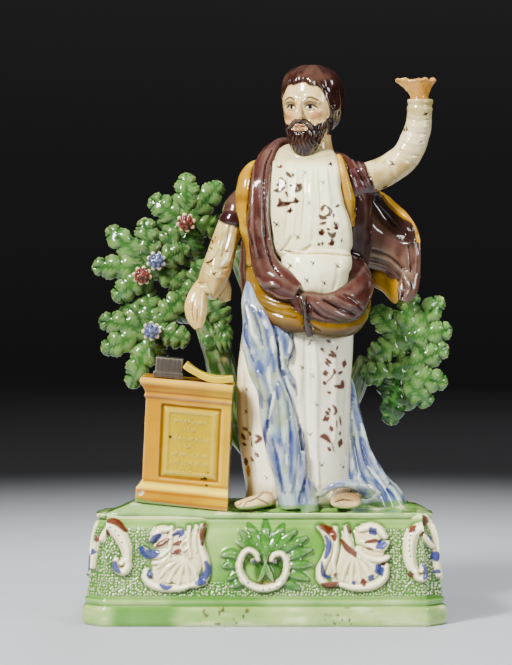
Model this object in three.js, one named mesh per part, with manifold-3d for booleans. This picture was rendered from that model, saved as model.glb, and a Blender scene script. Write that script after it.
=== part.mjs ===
// A press-moulded pearlware figure: a bearded man preaching, one arm raised, beside a leaning altar, with a
// leafy tree behind him, on an oblong base with shells and scrolls. Millimetres, +Z up, the front faces -Y.
// The origin is the middle of the flat underside.
import * as THREE from "three";
import { mergeVertices } from "three/addons/utils/BufferGeometryUtils.js";
import Module from "manifold-3d";

const wasm = await Module();
wasm.setup();

// Driving dimensions
const BASE_LENGTH = 217;
const BASE_DEPTH = 106;
const BASE_HEIGHT = 66.5;
const CORNER_RADIUS = 19;
const VENT_RADIUS = 4.5;
const ALTAR_HEIGHT = 72.4;
const ALTAR_WIDTH = 48.4;
const ALTAR_DEPTH = 33;
const ALTAR_LEAN = 0.045;
const ALTAR_TURN = -0.03;
const ALTAR_SLUMP = 0.05;
const GAP = 0.3;

const EARTHENWARE = { roughness: 0.18, metalness: 0 };
const GREEN = 0x7fae5a;
const LEAF_GREEN = 0x3f7d45;
const YELLOW = 0xd9a21c;
const PAPER_YELLOW = 0xe3cc2b;
const BOOK_GREY = 0x55505a;
const CREAM = 0xe6dcc0;
const HAIR_BROWN = 0x6c5749;
const CLOAK_PURPLE = 0x65534a;
const RUST = 0x8f3a22;
const BLUE = 0x5468a8;

const v3 = (x, y, z) => new THREE.Vector3(x, y, z);

// A three.js geometry as a solid, turned so that its faces point out.
function solidFrom(geometry) {
  const bare = geometry.clone();
  bare.deleteAttribute("normal");
  bare.deleteAttribute("uv");
  const merged = mergeVertices(bare, 1e-4);
  const triVerts = new Uint32Array(merged.index.array);
  const vertProperties = merged.attributes.position.array;
  const solid = new wasm.Manifold(new wasm.Mesh({ numProp: 3, vertProperties, triVerts }));
  if (solid.volume() > 0) return solid;
  for (let i = 0; i < triVerts.length; i += 3) {
    [triVerts[i + 1], triVerts[i + 2]] = [triVerts[i + 2], triVerts[i + 1]];
  }
  return new wasm.Manifold(new wasm.Mesh({ numProp: 3, vertProperties, triVerts }));
}

function geometryFrom(solid) {
  const mesh = solid.getMesh();
  const geometry = new THREE.BufferGeometry();
  geometry.setAttribute("position", new THREE.BufferAttribute(mesh.vertProperties, 3));
  geometry.setIndex(new THREE.BufferAttribute(mesh.triVerts, 1));
  geometry.computeVertexNormals();
  return geometry;
}

const joined = (solids) => solids.reduce((all, next) => all.add(next));

// The same solid without any pocket that the joined forms closed off inside it.
const filled = (solid) => joined(solid.decompose().filter((body) => body.volume() > 0));

// The largest body of a solid that cuts have left in several.
const largest = (solid) => solid.decompose().reduce((best, body) => (body.volume() > best.volume() ? body : best));

// A solid swept a fine gap to every side, for cutting its neighbours clear of it.
const around = (solid) => joined([
  [GAP, 0, 0], [-GAP, 0, 0], [0, GAP, 0], [0, -GAP, 0], [0, 0, GAP], [0, 0, -GAP],
].map((step) => solid.translate(step)));

// A closed skin over rings of points, each ring with the same count, capped by a fan at both ends.
function skin(rings) {
  const count = rings[0].length;
  const points = rings.flat();
  const index = [];
  for (let r = 0; r + 1 < rings.length; r += 1) {
    for (let i = 0; i < count; i += 1) {
      const a = r * count + i;
      const b = r * count + ((i + 1) % count);
      index.push(a, b, b + count, a, b + count, a + count);
    }
  }
  [0, rings.length - 1].forEach((r) => {
    const middle = rings[r].reduce((sum, p) => sum.add(p), v3(0, 0, 0)).divideScalar(count);
    points.push(middle);
    for (let i = 0; i < count; i += 1) {
      const a = r * count + i;
      const b = r * count + ((i + 1) % count);
      index.push(...(r ? [a, b, points.length - 1] : [b, a, points.length - 1]));
    }
  });
  return new THREE.BufferGeometry().setFromPoints(points).setIndex(index);
}

// A form drawn out along stations [x, y, z, half across, half through]. "across" is the direction of the first
// half size, "through" fixes that of the second where the sections don't turn with the path, and
// swell(angle, t) scales the outline, for folds and lobes.
function drawn(stations, { sides = 12, steps = 12, across = v3(1, 0, 0), through, swell = () => 1 } = {}) {
  const path = new THREE.CatmullRomCurve3(stations.map((s) => v3(s[0], s[1], s[2])), false, "centripetal");
  const sizes = new THREE.CatmullRomCurve3(
    stations.map((s, i) => v3(s[3], s[4], i * 100)), false, "centripetal");
  const rings = [];
  for (let k = 0; k <= steps; k += 1) {
    const t = k / steps;
    const centre = path.getPoint(t);
    const along = path.getTangent(t);
    const u = through ? across : across.clone().addScaledVector(along, -across.dot(along)).normalize();
    const w = through ?? along.clone().cross(u);
    const size = sizes.getPoint(t);
    const ring = [];
    for (let i = 0; i < sides; i += 1) {
      const a = (i / sides) * Math.PI * 2;
      const s = swell(a, t);
      ring.push(centre.clone()
        .addScaledVector(u, size.x * s * Math.cos(a))
        .addScaledVector(w, size.y * s * Math.sin(a)));
    }
    rings.push(ring);
  }
  return solidFrom(skin(rings));
}

function ball(x, y, z, rx, ry, rz, sides = 16) {
  const geometry = new THREE.SphereGeometry(1, sides, sides / 2);
  geometry.scale(rx, ry, rz);
  geometry.translate(x, y, z);
  return solidFrom(geometry);
}

// A box with its lowest and highest corners.
function block(low, high) {
  const size = high.clone().sub(low);
  const geometry = new THREE.BoxGeometry(size.x, size.y, size.z);
  geometry.translate(...low.clone().add(high).multiplyScalar(0.5).toArray());
  return solidFrom(geometry);
}

// The outline of an oblong with round corners, seen from above.
function oblong(halfX, halfY, corner, z, arcSteps = 3) {
  const ring = [];
  [[1, 1], [-1, 1], [-1, -1], [1, -1]].forEach(([sx, sy], quarter) => {
    for (let i = 0; i <= arcSteps; i += 1) {
      const a = (quarter + i / arcSteps) * (Math.PI / 2);
      ring.push(v3(
        sx * (halfX - corner) + corner * Math.cos(a),
        sy * (halfY - corner) + corner * Math.sin(a), z));
    }
  });
  return ring;
}

// Stations of an arc in an upright plane, of one half size all along: from angle "from" to angle "to".
function arcStations(cx, cz, radius, from, to, y, thick, deep, count = 7) {
  return Array.from({ length: count }, (_, i) => {
    const a = from + ((to - from) * i) / (count - 1);
    return [cx + radius * Math.cos(a), y, cz + radius * Math.sin(a), deep, thick];
  });
}

// Base: the moulded profile as heights and insets from the full length. The front steps in by less.
const BASE_PROFILE = [
  [0, 2], [2.5, 0.2], [9.6, 0.4], [12.2, 2.4], [14.6, 1.8], [16.6, 3.2], [26, 4.8], [42, 6.2],
  [52, 7.4], [58.8, 9.9], [62, 11.2], [BASE_HEIGHT, 15],
];
const FRONT_SHARE = 0.6;
const FRIEZE_FACE = -BASE_DEPTH / 2 + 5.8 * FRONT_SHARE;
const ALTAR_FOOT = v3(-48.8, -23.4, 72.6);

// A rocaille shell: a fan of flutes over a curled lip, with a scroll down one side.
function shell(cx, facing) {
  const fan = drawn([
    [cx, FRIEZE_FACE, 29.5, 4, 3], [cx, FRIEZE_FACE - 0.6, 35.5, 13, 4.4],
    [cx, FRIEZE_FACE + 0.6, 45.5, 11, 4], [cx, FRIEZE_FACE + 2, 55, 9, 2.6],
  ], { sides: 12, steps: 4 });
  const lip = drawn(
    arcStations(cx, 38.5, 15.5, Math.PI * 1.04, Math.PI * 1.9, FRIEZE_FACE - 0.6, 3.2, 3.2),
    { sides: 6, steps: 6, across: v3(0, 1, 0) });
  const side = drawn([
    [cx + facing * 16, FRIEZE_FACE, 28.5, 3.4, 2.6], [cx + facing * 15, FRIEZE_FACE, 36.5, 3.2, 2.6],
    [cx + facing * 11, FRIEZE_FACE + 1, 48.5, 2.8, 2.4], [cx + facing * 13, FRIEZE_FACE + 3, 56.5, 2.4, 3],
  ], { sides: 6, steps: 4, across: v3(0, 1, 0) });
  return joined([fan, lip, side]);
}

// A C-scroll that opens downwards, at a corner of the front.
function cornerScroll(facing) {
  const cx = facing * 86;
  const arc = arcStations(cx, 44.5, 10.5, Math.PI * 1.12, -Math.PI * 0.22, FRIEZE_FACE + 1.4, 3.2, 3.4);
  return drawn(facing < 0 ? arc : arc.map((s) => [2 * cx - s[0], ...s.slice(1)]),
    { sides: 6, steps: 7, across: v3(0, 1, 0) });
}

// The leaf palmette with its small scroll in the middle of the front.
function palmette() {
  const leaf = drawn([
    [0, FRIEZE_FACE + 1, 21, 2, 2], [0, FRIEZE_FACE, 33, 17, 3.6], [0, FRIEZE_FACE + 0.6, 45, 14, 3.4],
    [0, FRIEZE_FACE + 3.4, 57.5, 3, 2],
  ], { sides: 12, steps: 5 });
  const curl = drawn(
    arcStations(0, 34, 10.5, Math.PI * 0.78, Math.PI * 2.22, FRIEZE_FACE - 1.6, 2.6, 3),
    { sides: 6, steps: 8, across: v3(0, 1, 0) });
  return joined([leaf, curl]);
}

// The altar and what lies on it lean, and have slumped out of square: one side stands lower than the other.
const slump = new THREE.Matrix4().set(1, 0, 0, 0, 0, 1, 0, 0, -ALTAR_SLUMP, 0, 1, 0, 0, 0, 0, 1);
const slumped = (solid) => solid.transform(Array.from(slump.elements));

// The ground on top: a low mound, and a wedge that the altar stands on.
function mound() {
  const hill = ball(14, 4, BASE_HEIGHT - 2.5, 84, 38, 5.6, 16);
  const wedge = skin([
    oblong(34, 19, 8, -11, 2),
    oblong(28.4, 18, 4, -GAP, 2),
  ]);
  wedge.applyMatrix4(slump);
  wedge.rotateZ(ALTAR_TURN);
  wedge.rotateY(ALTAR_LEAN);
  wedge.translate(...ALTAR_FOOT.toArray());
  return joined([hill, solidFrom(wedge)]);
}

function baseSolid() {
  const rings = BASE_PROFILE.map(([z, inset]) => oblong(
    BASE_LENGTH / 2 - inset, BASE_DEPTH / 2 - inset * FRONT_SHARE, CORNER_RADIUS - inset / 2, z));
  const vent = new THREE.CylinderGeometry(VENT_RADIUS, VENT_RADIUS, 24, 16);
  vent.rotateX(Math.PI / 2);
  vent.translate(30, 22, 0);
  return filled(joined([
    solidFrom(skin(rings)), mound(), shell(-48, 1), shell(48, -1),
    cornerScroll(-1), cornerScroll(1), palmette(),
  ])).subtract(solidFrom(vent));
}

// Altar, in its own frame with its foot at zero: half sizes at each height
const ALTAR_PROFILE = [
  [0, 3.4], [7.5, 3], [9, 1.2], [12, 0], [59.5, 0.2], [61, 1.2], [63, 0.6], [66.6, 2.2], [69, 3.6],
  [ALTAR_HEIGHT, 3.4],
];
const PANEL_WIDTH = 35;
const PANEL_HEIGHT = 45;
const PANEL_LOW = 13.5;
const PANEL_SINK = 1.3;

function altarSolid() {
  const rings = ALTAR_PROFILE.map(([z, out]) => oblong(
    ALTAR_WIDTH / 2 + out, ALTAR_DEPTH / 2 + out, 0.8, z, 1));
  const front = -ALTAR_DEPTH / 2;
  const sunk = block(
    v3(-PANEL_WIDTH / 2, front - 5, PANEL_LOW),
    v3(PANEL_WIDTH / 2, front + PANEL_SINK, PANEL_LOW + PANEL_HEIGHT));
  const middle = PANEL_LOW + PANEL_HEIGHT / 2;
  const tablet = [[1.5, front + 3], [1.5, front + PANEL_SINK], [5, front + 0.1]].map(([inset, y]) => {
    const w = PANEL_WIDTH / 2 - inset;
    const h = PANEL_HEIGHT / 2 - inset;
    return [v3(-w, y, middle - h), v3(w, y, middle - h), v3(w, y, middle + h), v3(-w, y, middle + h)];
  });
  return slumped(solidFrom(skin(rings)).subtract(sunk).add(solidFrom(skin(tablet))));
}

// Open paper: a thick leaf that curls up at its left end and lies on the altar's cap.
function scrollSolid() {
  const low = ALTAR_HEIGHT + GAP;
  const leaf = [
    [-0.6, -9, low + 8.4, 8.5, 2.2], [5, -9, low + 5.4, 8.5, 2.3], [11, -9, low + 3, 8.5, 2.4],
    [18, -9, low + 2.3, 8.5, 2.4], [26.4, -9, low + 3.6, 8.5, 2.4],
  ];
  const square = (a) => 1 / Math.max(Math.abs(Math.cos(a)), Math.abs(Math.sin(a)));
  return slumped(drawn(leaf, { sides: 8, steps: 10, across: v3(0, 1, 0), swell: square })
    .subtract(block(v3(-40, -40, low - 9), v3(40, 40, low))));
}

// Two closed books, the upper one with raised ribs across its back.
function booksSolid() {
  const low = ALTAR_HEIGHT + GAP;
  const lower = block(v3(-20.6, -14, low), v3(-2.6, 3, low + 3.6));
  const upper = block(v3(-19, -12.6, low + 3), v3(-4, 2, low + 12));
  const ribs = [-16.6, -13.2, -9.8, -6.4].map((x) => block(
    v3(x - 0.8, -13.5, low + 3.4), v3(x + 0.8, -12, low + 11.4)));
  return slumped(joined([lower, upper, ...ribs]));
}

// Figure, from the feet up. Stations are [x, y, z, half across, half through].
function robe() {
  const folds = (a, t) => 1 + 0.05 * (1 - t) * Math.cos(6 * a + 0.6);
  return drawn([
    [22, -6, 64, 38, 27], [21, -6, 79.5, 37, 27], [18, -6, 109.5, 35.6, 26], [17.5, -6, 139.5, 35.4, 25.5],
    [20, -6, 169.5, 33.5, 25], [22, -5, 197.5, 31, 23], [25, -5, 219, 26, 19], [24, -5, 235, 29, 20.5],
    [22, -4, 255, 31.5, 21], [24, -3, 271, 29, 17], [30, -2, 281, 14, 12],
  ], { sides: 24, steps: 11, swell: folds });
}

function mantleFront() {
  return drawn([
    [-2, -24, 201, 8, 7], [0, -27, 180, 13.5, 8], [2, -29, 164.5, 16.5, 8], [2, -30, 151, 12.5, 7],
    [7, -31, 140, 12.5, 7], [10, -31, 119.5, 12, 6.5], [13, -31, 104, 13, 7], [15, -31, 86, 10.5, 6.5],
    [15, -30, 70, 8, 6],
  ], { sides: 8, steps: 9 });
}

function mantleTail() {
  return drawn([
    [52, 0, 141.5, 3, 8], [52, 0, 119.5, 7, 11], [53.5, 0, 100.5, 9, 12], [57, -2, 85, 12, 14], [66, -4, 69, 20, 16],
    [68, -5, 61, 22, 17],
  ], { sides: 12, steps: 6 });
}

function feet() {
  const left = drawn([
    [2, -26, 72.5, 6, 5], [-6, -33, 73, 6.5, 4.5], [-13, -38, 71.5, 6, 3], [-16.5, -40.5, 71.5, 3.4, 1.6],
  ], { sides: 8, steps: 4 });
  const right = drawn([
    [50, -24, 74, 7, 6], [51, -32, 73.5, 7.5, 5], [52, -39, 72.5, 7, 3.6], [53, -43, 72, 4.6, 1.8],
  ], { sides: 8, steps: 4 });
  return joined([left, right]);
}

function tunicBlouse() {
  const chest = drawn([
    [26, -20, 214.5, 24, 11], [25, -22, 225.5, 26, 12], [25, -21, 247.5, 25, 10.5], [27, -17, 269, 20, 9],
  ], { sides: 14, steps: 6 });
  const apron = drawn([
    [32, -25, 196.5, 12, 8], [31, -27, 203, 20, 11], [30, -25, 213.5, 22, 11],
  ], { sides: 14, steps: 4 });
  return joined([chest, apron]);
}

// The cloak: a purple roll over the shoulder and round the belly, its yellow lining below and beside it.
function cloakRoll() {
  return drawn([
    [34, 15, 282, 6, 6], [18, 10, 287.5, 7, 6.5], [4, -4, 283, 8, 7], [-2, -17, 269, 8, 7],
    [-4, -24, 247.5, 8, 7], [-3, -27, 225.5, 8.5, 8], [1, -29, 209, 10.5, 9], [12, -33, 199.5, 10.5, 9],
    [27, -36, 189, 11, 10], [41, -34, 185, 12, 11], [51, -27, 190, 12.5, 11.5], [54.5, -14, 199.5, 11.5, 11],
    [52, 2, 206.5, 9, 10],
  ], { sides: 8, steps: 17, across: v3(0, 0, 1) });
}

function cloakLining() {
  const below = drawn([
    [-9, -10, 211.5, 6, 8], [-6, -22, 198, 9, 8], [6, -31, 186.5, 10, 8], [24, -33, 181.5, 8.6, 8.5],
    [40, -32, 178.5, 8.6, 8.5], [51, -24, 181.5, 8.6, 9], [55, -10, 192, 8.6, 8],
  ], { sides: 8, steps: 9, across: v3(0, 0, 1) });
  const beside = drawn([
    [-9, -9, 209.5, 6, 9], [-10.5, -9, 229.5, 6, 10], [-11, -7, 249, 6, 10], [-6, -4, 267, 6, 8],
    [2, 0, 275.5, 5, 6],
  ], { sides: 8, steps: 6 });
  const facing = drawn([
    [52, -13, 231, 4, 8], [53.5, -13, 245, 5.5, 8], [49, -12, 261.5, 5, 7], [44, -9, 274, 3.5, 6],
  ], { sides: 6, steps: 4 });
  return joined([below, beside, facing]);
}

function cloakBack() {
  return drawn([
    [22, 14, 188, 36, 9], [22, 16, 212, 37, 9], [23, 16, 242, 36, 9], [24, 12, 266, 31, 9],
    [27, 9, 281.5, 16, 7],
  ], { sides: 14, steps: 6 });
}

// The free end of the cloak, blown out behind the raised arm.
function cloakFlap() {
  const flap = drawn([
    [52, 6, 239.5, 19, 4.5], [62, 7, 238.5, 21, 4.5], [71, 8, 234.5, 23, 4.5], [80, 7, 221, 28, 4.5],
    [88, 4, 217, 24, 4.5], [92.4, 1, 217.5, 14, 4],
  ], { sides: 10, steps: 7, across: v3(0, 0, 1), through: v3(0, 1, 0) });
  const point = drawn([
    [89, 2, 206.5, 6, 4.5], [86, -1, 194.5, 6, 4], [83.5, -2, 188.5, 3, 3],
  ], { sides: 8, steps: 3 });
  return joined([flap, point]);
}

function raisedArm() {
  const shortSleeve = drawn([
    [46, -3, 263, 13, 13], [56, -4, 264, 12.5, 12.5], [65, -5, 265, 11, 11],
  ], { sides: 12, steps: 4, across: v3(0, 1, 0) });
  const sleeve = drawn([
    [56, -4, 264, 9.5, 9.5], [70, -5, 267, 9.4, 9.6], [80, -6, 272, 9.2, 9.4], [88, -6, 280, 8.8, 9],
    [92, -6, 291, 8, 8.2], [93.6, -6, 302, 7.8, 8], [94, -6, 310.5, 8, 8.2],
  ], { sides: 10, steps: 10, across: v3(0, 1, 0) });
  return joined([shortSleeve, sleeve]);
}

// The raised hand is lost past the palm: a flared stump with a hollow, uneven top.
function brokenHand() {
  const palm = drawn([
    [94, -6, 307, 6.4, 5.4], [94, -6, 313, 5.2, 5], [93, -6, 318, 7.6, 5.6], [91.6, -6, 325, 13, 6],
  ], { sides: 12, steps: 5, through: v3(0, 1, 0) });
  return palm.subtract(ball(91, -6, 327.4, 9, 3.8, 3.6, 8));
}

function loweredArm() {
  const shortSleeve = drawn([
    [-4, -5, 265, 12, 12], [-14, -8, 255, 9, 9.6], [-19.4, -10, 241.5, 8, 8],
  ], { sides: 10, steps: 4 });
  const sleeve = drawn([
    [-15, -9, 251.5, 6.6, 7], [-20, -12, 238.5, 7.6, 8], [-25, -16, 223.5, 8.6, 8.6], [-30, -21, 209, 9, 9],
    [-33.4, -25, 196.5, 8, 8],
  ], { sides: 10, steps: 7 });
  const hand = drawn([
    [-34.4, -26, 199, 5, 4], [-36, -28.4, 192, 6, 4.4], [-38.6, -31, 184.5, 6.6, 4], [-40.4, -33, 178.5, 4.6, 3.4],
    [-39.6, -33.6, 173.5, 2.4, 2.4],
  ], { sides: 8, steps: 6 });
  return joined([shortSleeve, sleeve, hand]);
}

// Head: a plain skull with a brow, nose and beard, under a smooth cap of hair.
const HEAD = v3(27.4, -7, 306);
const HEAD_TURN = -0.42;

function head() {
  const neck = drawn([[31, -2, 273, 12, 11], [31, -2, 283, 9.6, 9.4], [30, -3, 293, 9.6, 9.6]],
    { sides: 10, steps: 3 });
  const skull = drawn([
    [0, -1, -18, 9, 9], [0, -1, -10, 13, 13.5], [0, 0, 2, 15, 16.5], [0, 1, 12, 14.6, 16], [0, 2, 22, 8, 9],
  ], { sides: 14, steps: 7 });
  const hair = drawn([
    [0, 9, -17, 13, 8], [0, 7, -8, 18, 12], [0, 4, 4, 19.4, 16.8], [0, 2, 14, 18.4, 18.4], [0, 2, 22, 14, 15],
    [0, 3, 27.4, 5, 6],
  ], { sides: 14, steps: 7 });
  const beard = drawn([
    [0, -8, -29, 3, 3], [0, -8.5, -23, 9, 8], [0, -6, -13, 14.2, 11.6], [0, -4, -5, 15.4, 10],
  ], { sides: 10, steps: 5 });
  const nose = drawn([
    [0, -15.5, 7, 1.6, 2], [0, -18.6, 0, 2.4, 2.6], [0, -18, -4, 3, 2.6],
  ], { sides: 6, steps: 3 });
  const turned = new THREE.Matrix4().makeRotationZ(HEAD_TURN).setPosition(HEAD).elements;
  return joined([skull, hair, beard, nose]).transform(Array.from(turned)).add(neck);
}

function bodySolid() {
  return joined([
    robe(), mantleFront(), mantleTail(), feet(), tunicBlouse(), cloakBack(), cloakLining(), cloakRoll(),
  ]);
}

// Tree: a forked trunk behind the figure
function trunkSolid() {
  const stem = drawn([
    [10, 33, 62.5, 22, 9], [8, 33, 82.5, 13, 8], [6, 33, 118.5, 11, 7], [2, 33, 158.5, 10, 6.5], [-6, 32, 194.5, 8, 6],
    [-18, 30, 220.5, 5, 5],
  ], { sides: 8, steps: 7 });
  const leftLimb = drawn([
    [-4, 31, 94.5, 8, 7], [-20, 27, 120.5, 9, 7], [-27, 24, 150.5, 8.6, 6.4], [-36, 21, 176, 7, 5.6],
    [-48, 19, 198, 5, 5],
  ], { sides: 10, steps: 9 });
  const rightLimb = drawn([
    [10, 31, 94.5, 8, 7], [34, 27, 110.5, 7, 6.4], [54, 22, 128.5, 5.6, 6], [66, 18, 146, 4.6, 5],
    [74, 16, 154, 4, 4.4],
  ], { sides: 8, steps: 6 });
  return joined([stem, leftLimb, rightLimb]);
}

// A frond: a leaf with lobes on both sides of a raised rib, from its foot out to its tip.
const FROND_LOBES = 3;
const FROND_WIDTH = 9.4;

function frond(foot, angle, length, lift) {
  const out = v3(Math.cos(angle), 0, Math.sin(angle));
  const side = v3(-Math.sin(angle), 0, Math.cos(angle));
  const at = (t, bow) => foot.clone().addScaledVector(out, length * t).add(v3(0, lift * t + bow, 0));
  const stations = [[0, 0, 3], [0.35, -2.4, 3.4], [0.7, -2.6, 3], [1, 0, 1.6]].map(([t, bow, thick]) => [
    ...at(t, bow).toArray(), FROND_WIDTH, thick]);
  const lobed = (a, t) => {
    if (Math.abs(Math.cos(a)) < 0.5) return 1;
    const body = Math.sin(Math.PI * Math.min(1, 0.2 + 0.72 * t)) ** 0.6;
    return body * (0.82 + 0.18 * Math.cos(2 * Math.PI * FROND_LOBES * t));
  };
  return drawn(stations, { sides: 4, steps: 2 * FROND_LOBES, across: side, swell: lobed });
}

// Sprigs are [middle, then angle in degrees, length and lift of each frond].
const LEFT_SPRIGS = [
  [v3(-47, 14, 237.9), [[91, 30, 2], [46, 33, 6], [147, 27, 2], [222, 24, 0], [282, 26, 2], [-8, 22, 8]]],
  [v3(-69, 12, 210.8), [[97, 31, 0], [138, 36, 2], [180, 37, 0], [28, 27, -2], [222, 31, -2], [-25, 28, 4]]],
  [v3(-68, 10, 173.7), [[172, 34, 0], [204, 35, -2], [250, 40, -4], [-18, 24, -4], [48, 30, 2], [100, 24, 4]]],
  [v3(-38, 16, 194), [[102, 30, 2], [-48, 24, 0], [160, 22, 2]]],
];
const RIGHT_SPRIGS = [
  [v3(83, 12, 165.8), [[77, 32, 0], [46, 38, 0], [14, 33, -2], [128, 26, 2]]],
  [v3(81, 10, 146.7), [[28, 36, 0], [-20, 30, -2], [262, 33, -4], [181, 22, -2]]],
];

// The branches run behind the sprigs, out from the ends of the trunk's limbs.
const LEFT_BRANCHES = [
  [v3(-16, 30, 219.6), v3(-47, 16, 237), v3(-69, 14, 210.9), v3(-68, 12, 174.8)],
  [v3(-36, 17, 192), v3(-52, 15, 204), v3(-69, 14, 210.9)],
];
const RIGHT_BRANCHES = [[v3(72, 17, 150), v3(81, 12, 149.8), v3(83, 14, 164.9)]];

// A spray: sprigs of fronds, each on a knob, and the branches that hold them.
function spraySolid(sprigs, branches) {
  const sprays = sprigs.map(([middle, fronds]) => joined([
    ball(middle.x, middle.y + 1, middle.z, 6.5, 4.6, 6.5, 8),
    ...fronds.map(([degrees, length, lift]) => frond(middle, THREE.MathUtils.degToRad(degrees), length, lift)),
  ]));
  const stems = branches.map((points) => drawn(
    points.map((p) => [p.x, p.y, p.z, 3.8, 3.8]), { sides: 6, steps: 3 * points.length - 3, across: v3(0, 1, 0) }));
  return joined([...sprays, ...stems]);
}

// A floret: a disc of petals round a raised eye.
const FLOWER_RADIUS = 5.4;
const FLOWERS = [
  [-47.5, 3.6, 238, RUST], [-65.5, 1.6, 214.8, BLUE], [-74, 1.8, 206, RUST], [-68.4, -0.6, 172.4, BLUE],
];

function flowerSolid([x, y, z]) {
  const petals = (a) => 0.88 + 0.12 * Math.cos(6 * a);
  const disc = drawn([
    [x, y + 5, z, 3, 3], [x, y + 1, z, FLOWER_RADIUS, FLOWER_RADIUS],
    [x, y - 1, z, FLOWER_RADIUS, FLOWER_RADIUS], [x, y - 2.4, z, 2.6, 2.6],
  ], { sides: 12, steps: 3, swell: petals });
  return disc;
}

function part(name, solid, color) {
  const material = new THREE.MeshStandardMaterial({ color, ...EARTHENWARE });
  const mesh = new THREE.Mesh(geometryFrom(solid), material);
  mesh.name = name;
  return mesh;
}

const figurine = new THREE.Group();

const altar = new THREE.Group();
altar.position.copy(ALTAR_FOOT);
altar.rotation.set(0, ALTAR_LEAN, ALTAR_TURN);
altar.updateMatrix();
altar.add(
  part("altar", altarSolid(), YELLOW),
  part("scroll", scrollSolid(), PAPER_YELLOW),
  part("books", booksSolid(), BOOK_GREY),
);
const placedAltar = joined([altarSolid(), scrollSolid()]).transform(Array.from(altar.matrix.elements));

// Everything that stands on the base is cut to its top with a fine gap, and each moulded part of the figure
// is cut clear of the ones before it.
const base = baseSolid();
const ground = base.translate([0, 0, GAP]);
const body = filled(bodySolid().subtract(ground).subtract(around(placedAltar)));
const clearBody = around(body);
const headOnly = largest(filled(head()).subtract(clearBody));
const raised = largest(filled(raisedArm().add(brokenHand())).subtract(clearBody));
const flap = largest(filled(cloakFlap()).subtract(clearBody).subtract(around(raised)));
const lowered = largest(filled(loweredArm()).subtract(clearBody));
const clearFigure = clearBody.add(around(lowered)).add(around(flap));
const trunk = largest(trunkSolid().subtract(ground).subtract(clearFigure));
const clearTrunk = around(trunk);
const flowers = FLOWERS.map(flowerSolid);
const clearFlowers = around(joined(flowers));
const spray = (sprigs, branches) => largest(
  spraySolid(sprigs, branches).subtract(clearTrunk).subtract(clearFlowers).subtract(clearFigure));

figurine.add(
  part("base", base, GREEN),
  altar,
  part("figure", body, CREAM),
  part("head", headOnly, HAIR_BROWN),
  part("raised_arm", raised, CREAM),
  part("lowered_arm", lowered, CREAM),
  part("cloak_flap", flap, CLOAK_PURPLE),
  part("tree_trunk", trunk, LEAF_GREEN),
  part("bocage_left", spray(LEFT_SPRIGS, LEFT_BRANCHES), LEAF_GREEN),
  part("bocage_right", spray(RIGHT_SPRIGS, RIGHT_BRANCHES), LEAF_GREEN),
);
flowers.forEach((flower, i) => figurine.add(part(`flower_${i + 1}`, flower, FLOWERS[i][3])));

export default figurine;
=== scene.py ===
"""A press-moulded pearlware figure in coloured lead glazes: a bearded man preaching beside a leaning altar,
with a leafy tree behind him, on an oblong base with rocaille shells. Sizes here are millimetres, and each
mesh is written in metres. The front faces -Y and the origin is the middle of the flat underside."""
import math

import bmesh
import bpy
import numpy as np
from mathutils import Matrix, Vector, kdtree


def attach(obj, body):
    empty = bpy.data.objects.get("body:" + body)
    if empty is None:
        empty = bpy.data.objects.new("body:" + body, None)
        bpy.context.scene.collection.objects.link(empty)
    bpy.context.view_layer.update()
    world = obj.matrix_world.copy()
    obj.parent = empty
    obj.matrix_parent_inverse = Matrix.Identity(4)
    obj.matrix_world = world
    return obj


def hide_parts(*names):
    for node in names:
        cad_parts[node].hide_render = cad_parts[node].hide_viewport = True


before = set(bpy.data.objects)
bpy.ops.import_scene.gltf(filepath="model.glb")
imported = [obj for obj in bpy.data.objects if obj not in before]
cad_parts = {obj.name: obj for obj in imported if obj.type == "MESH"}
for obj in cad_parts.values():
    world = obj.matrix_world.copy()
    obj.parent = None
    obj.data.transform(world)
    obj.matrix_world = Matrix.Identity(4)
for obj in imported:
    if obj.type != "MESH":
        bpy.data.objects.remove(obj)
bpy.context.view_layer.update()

# Studio: a grey floor that darkens away from the piece and rises into a dark wall, the same from every side.
# The glaze mirrors a soft light at the upper left and a weaker one at the right. Two more, above and behind,
# light it but aren't mirrored.
MM = 0.001
FLOOR_RADIUS = 2300
WALL_RADIUS = 3100
WALL_HEIGHT = 2600
CURVE_STEPS = 8
LIGHT_AIM = 170
VIEW_DISTANCE = 1800
VIEW_TILT = math.radians(2.5)
VIEW_MIDDLE = (-5.1, 0, 171.6)
PIXEL = 1.653
MIDDLE_PX = 256 + 8.43
MIDDLE_PY = 332.5


def in_mm(*sizes):
    return tuple(size * MM for size in sizes)


class Amount:
    """A number that varies over a surface. A sum or product of amounts adds its Math node."""

    def __init__(self, finish, socket):
        self.finish = finish
        self.socket = socket

    def worked(self, operation, first, second):
        return self.finish.add("ShaderNodeMath", {"operation": operation}, {0: first, 1: second})

    def __add__(self, other):
        return self.worked("ADD", self, other)

    def __radd__(self, other):
        return self.worked("ADD", other, self)

    def __sub__(self, other):
        return self.worked("SUBTRACT", self, other)

    def __rsub__(self, other):
        return self.worked("SUBTRACT", other, self)

    def __mul__(self, other):
        return self.worked("MULTIPLY", self, other)

    def __rmul__(self, other):
        return self.worked("MULTIPLY", other, self)


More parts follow.
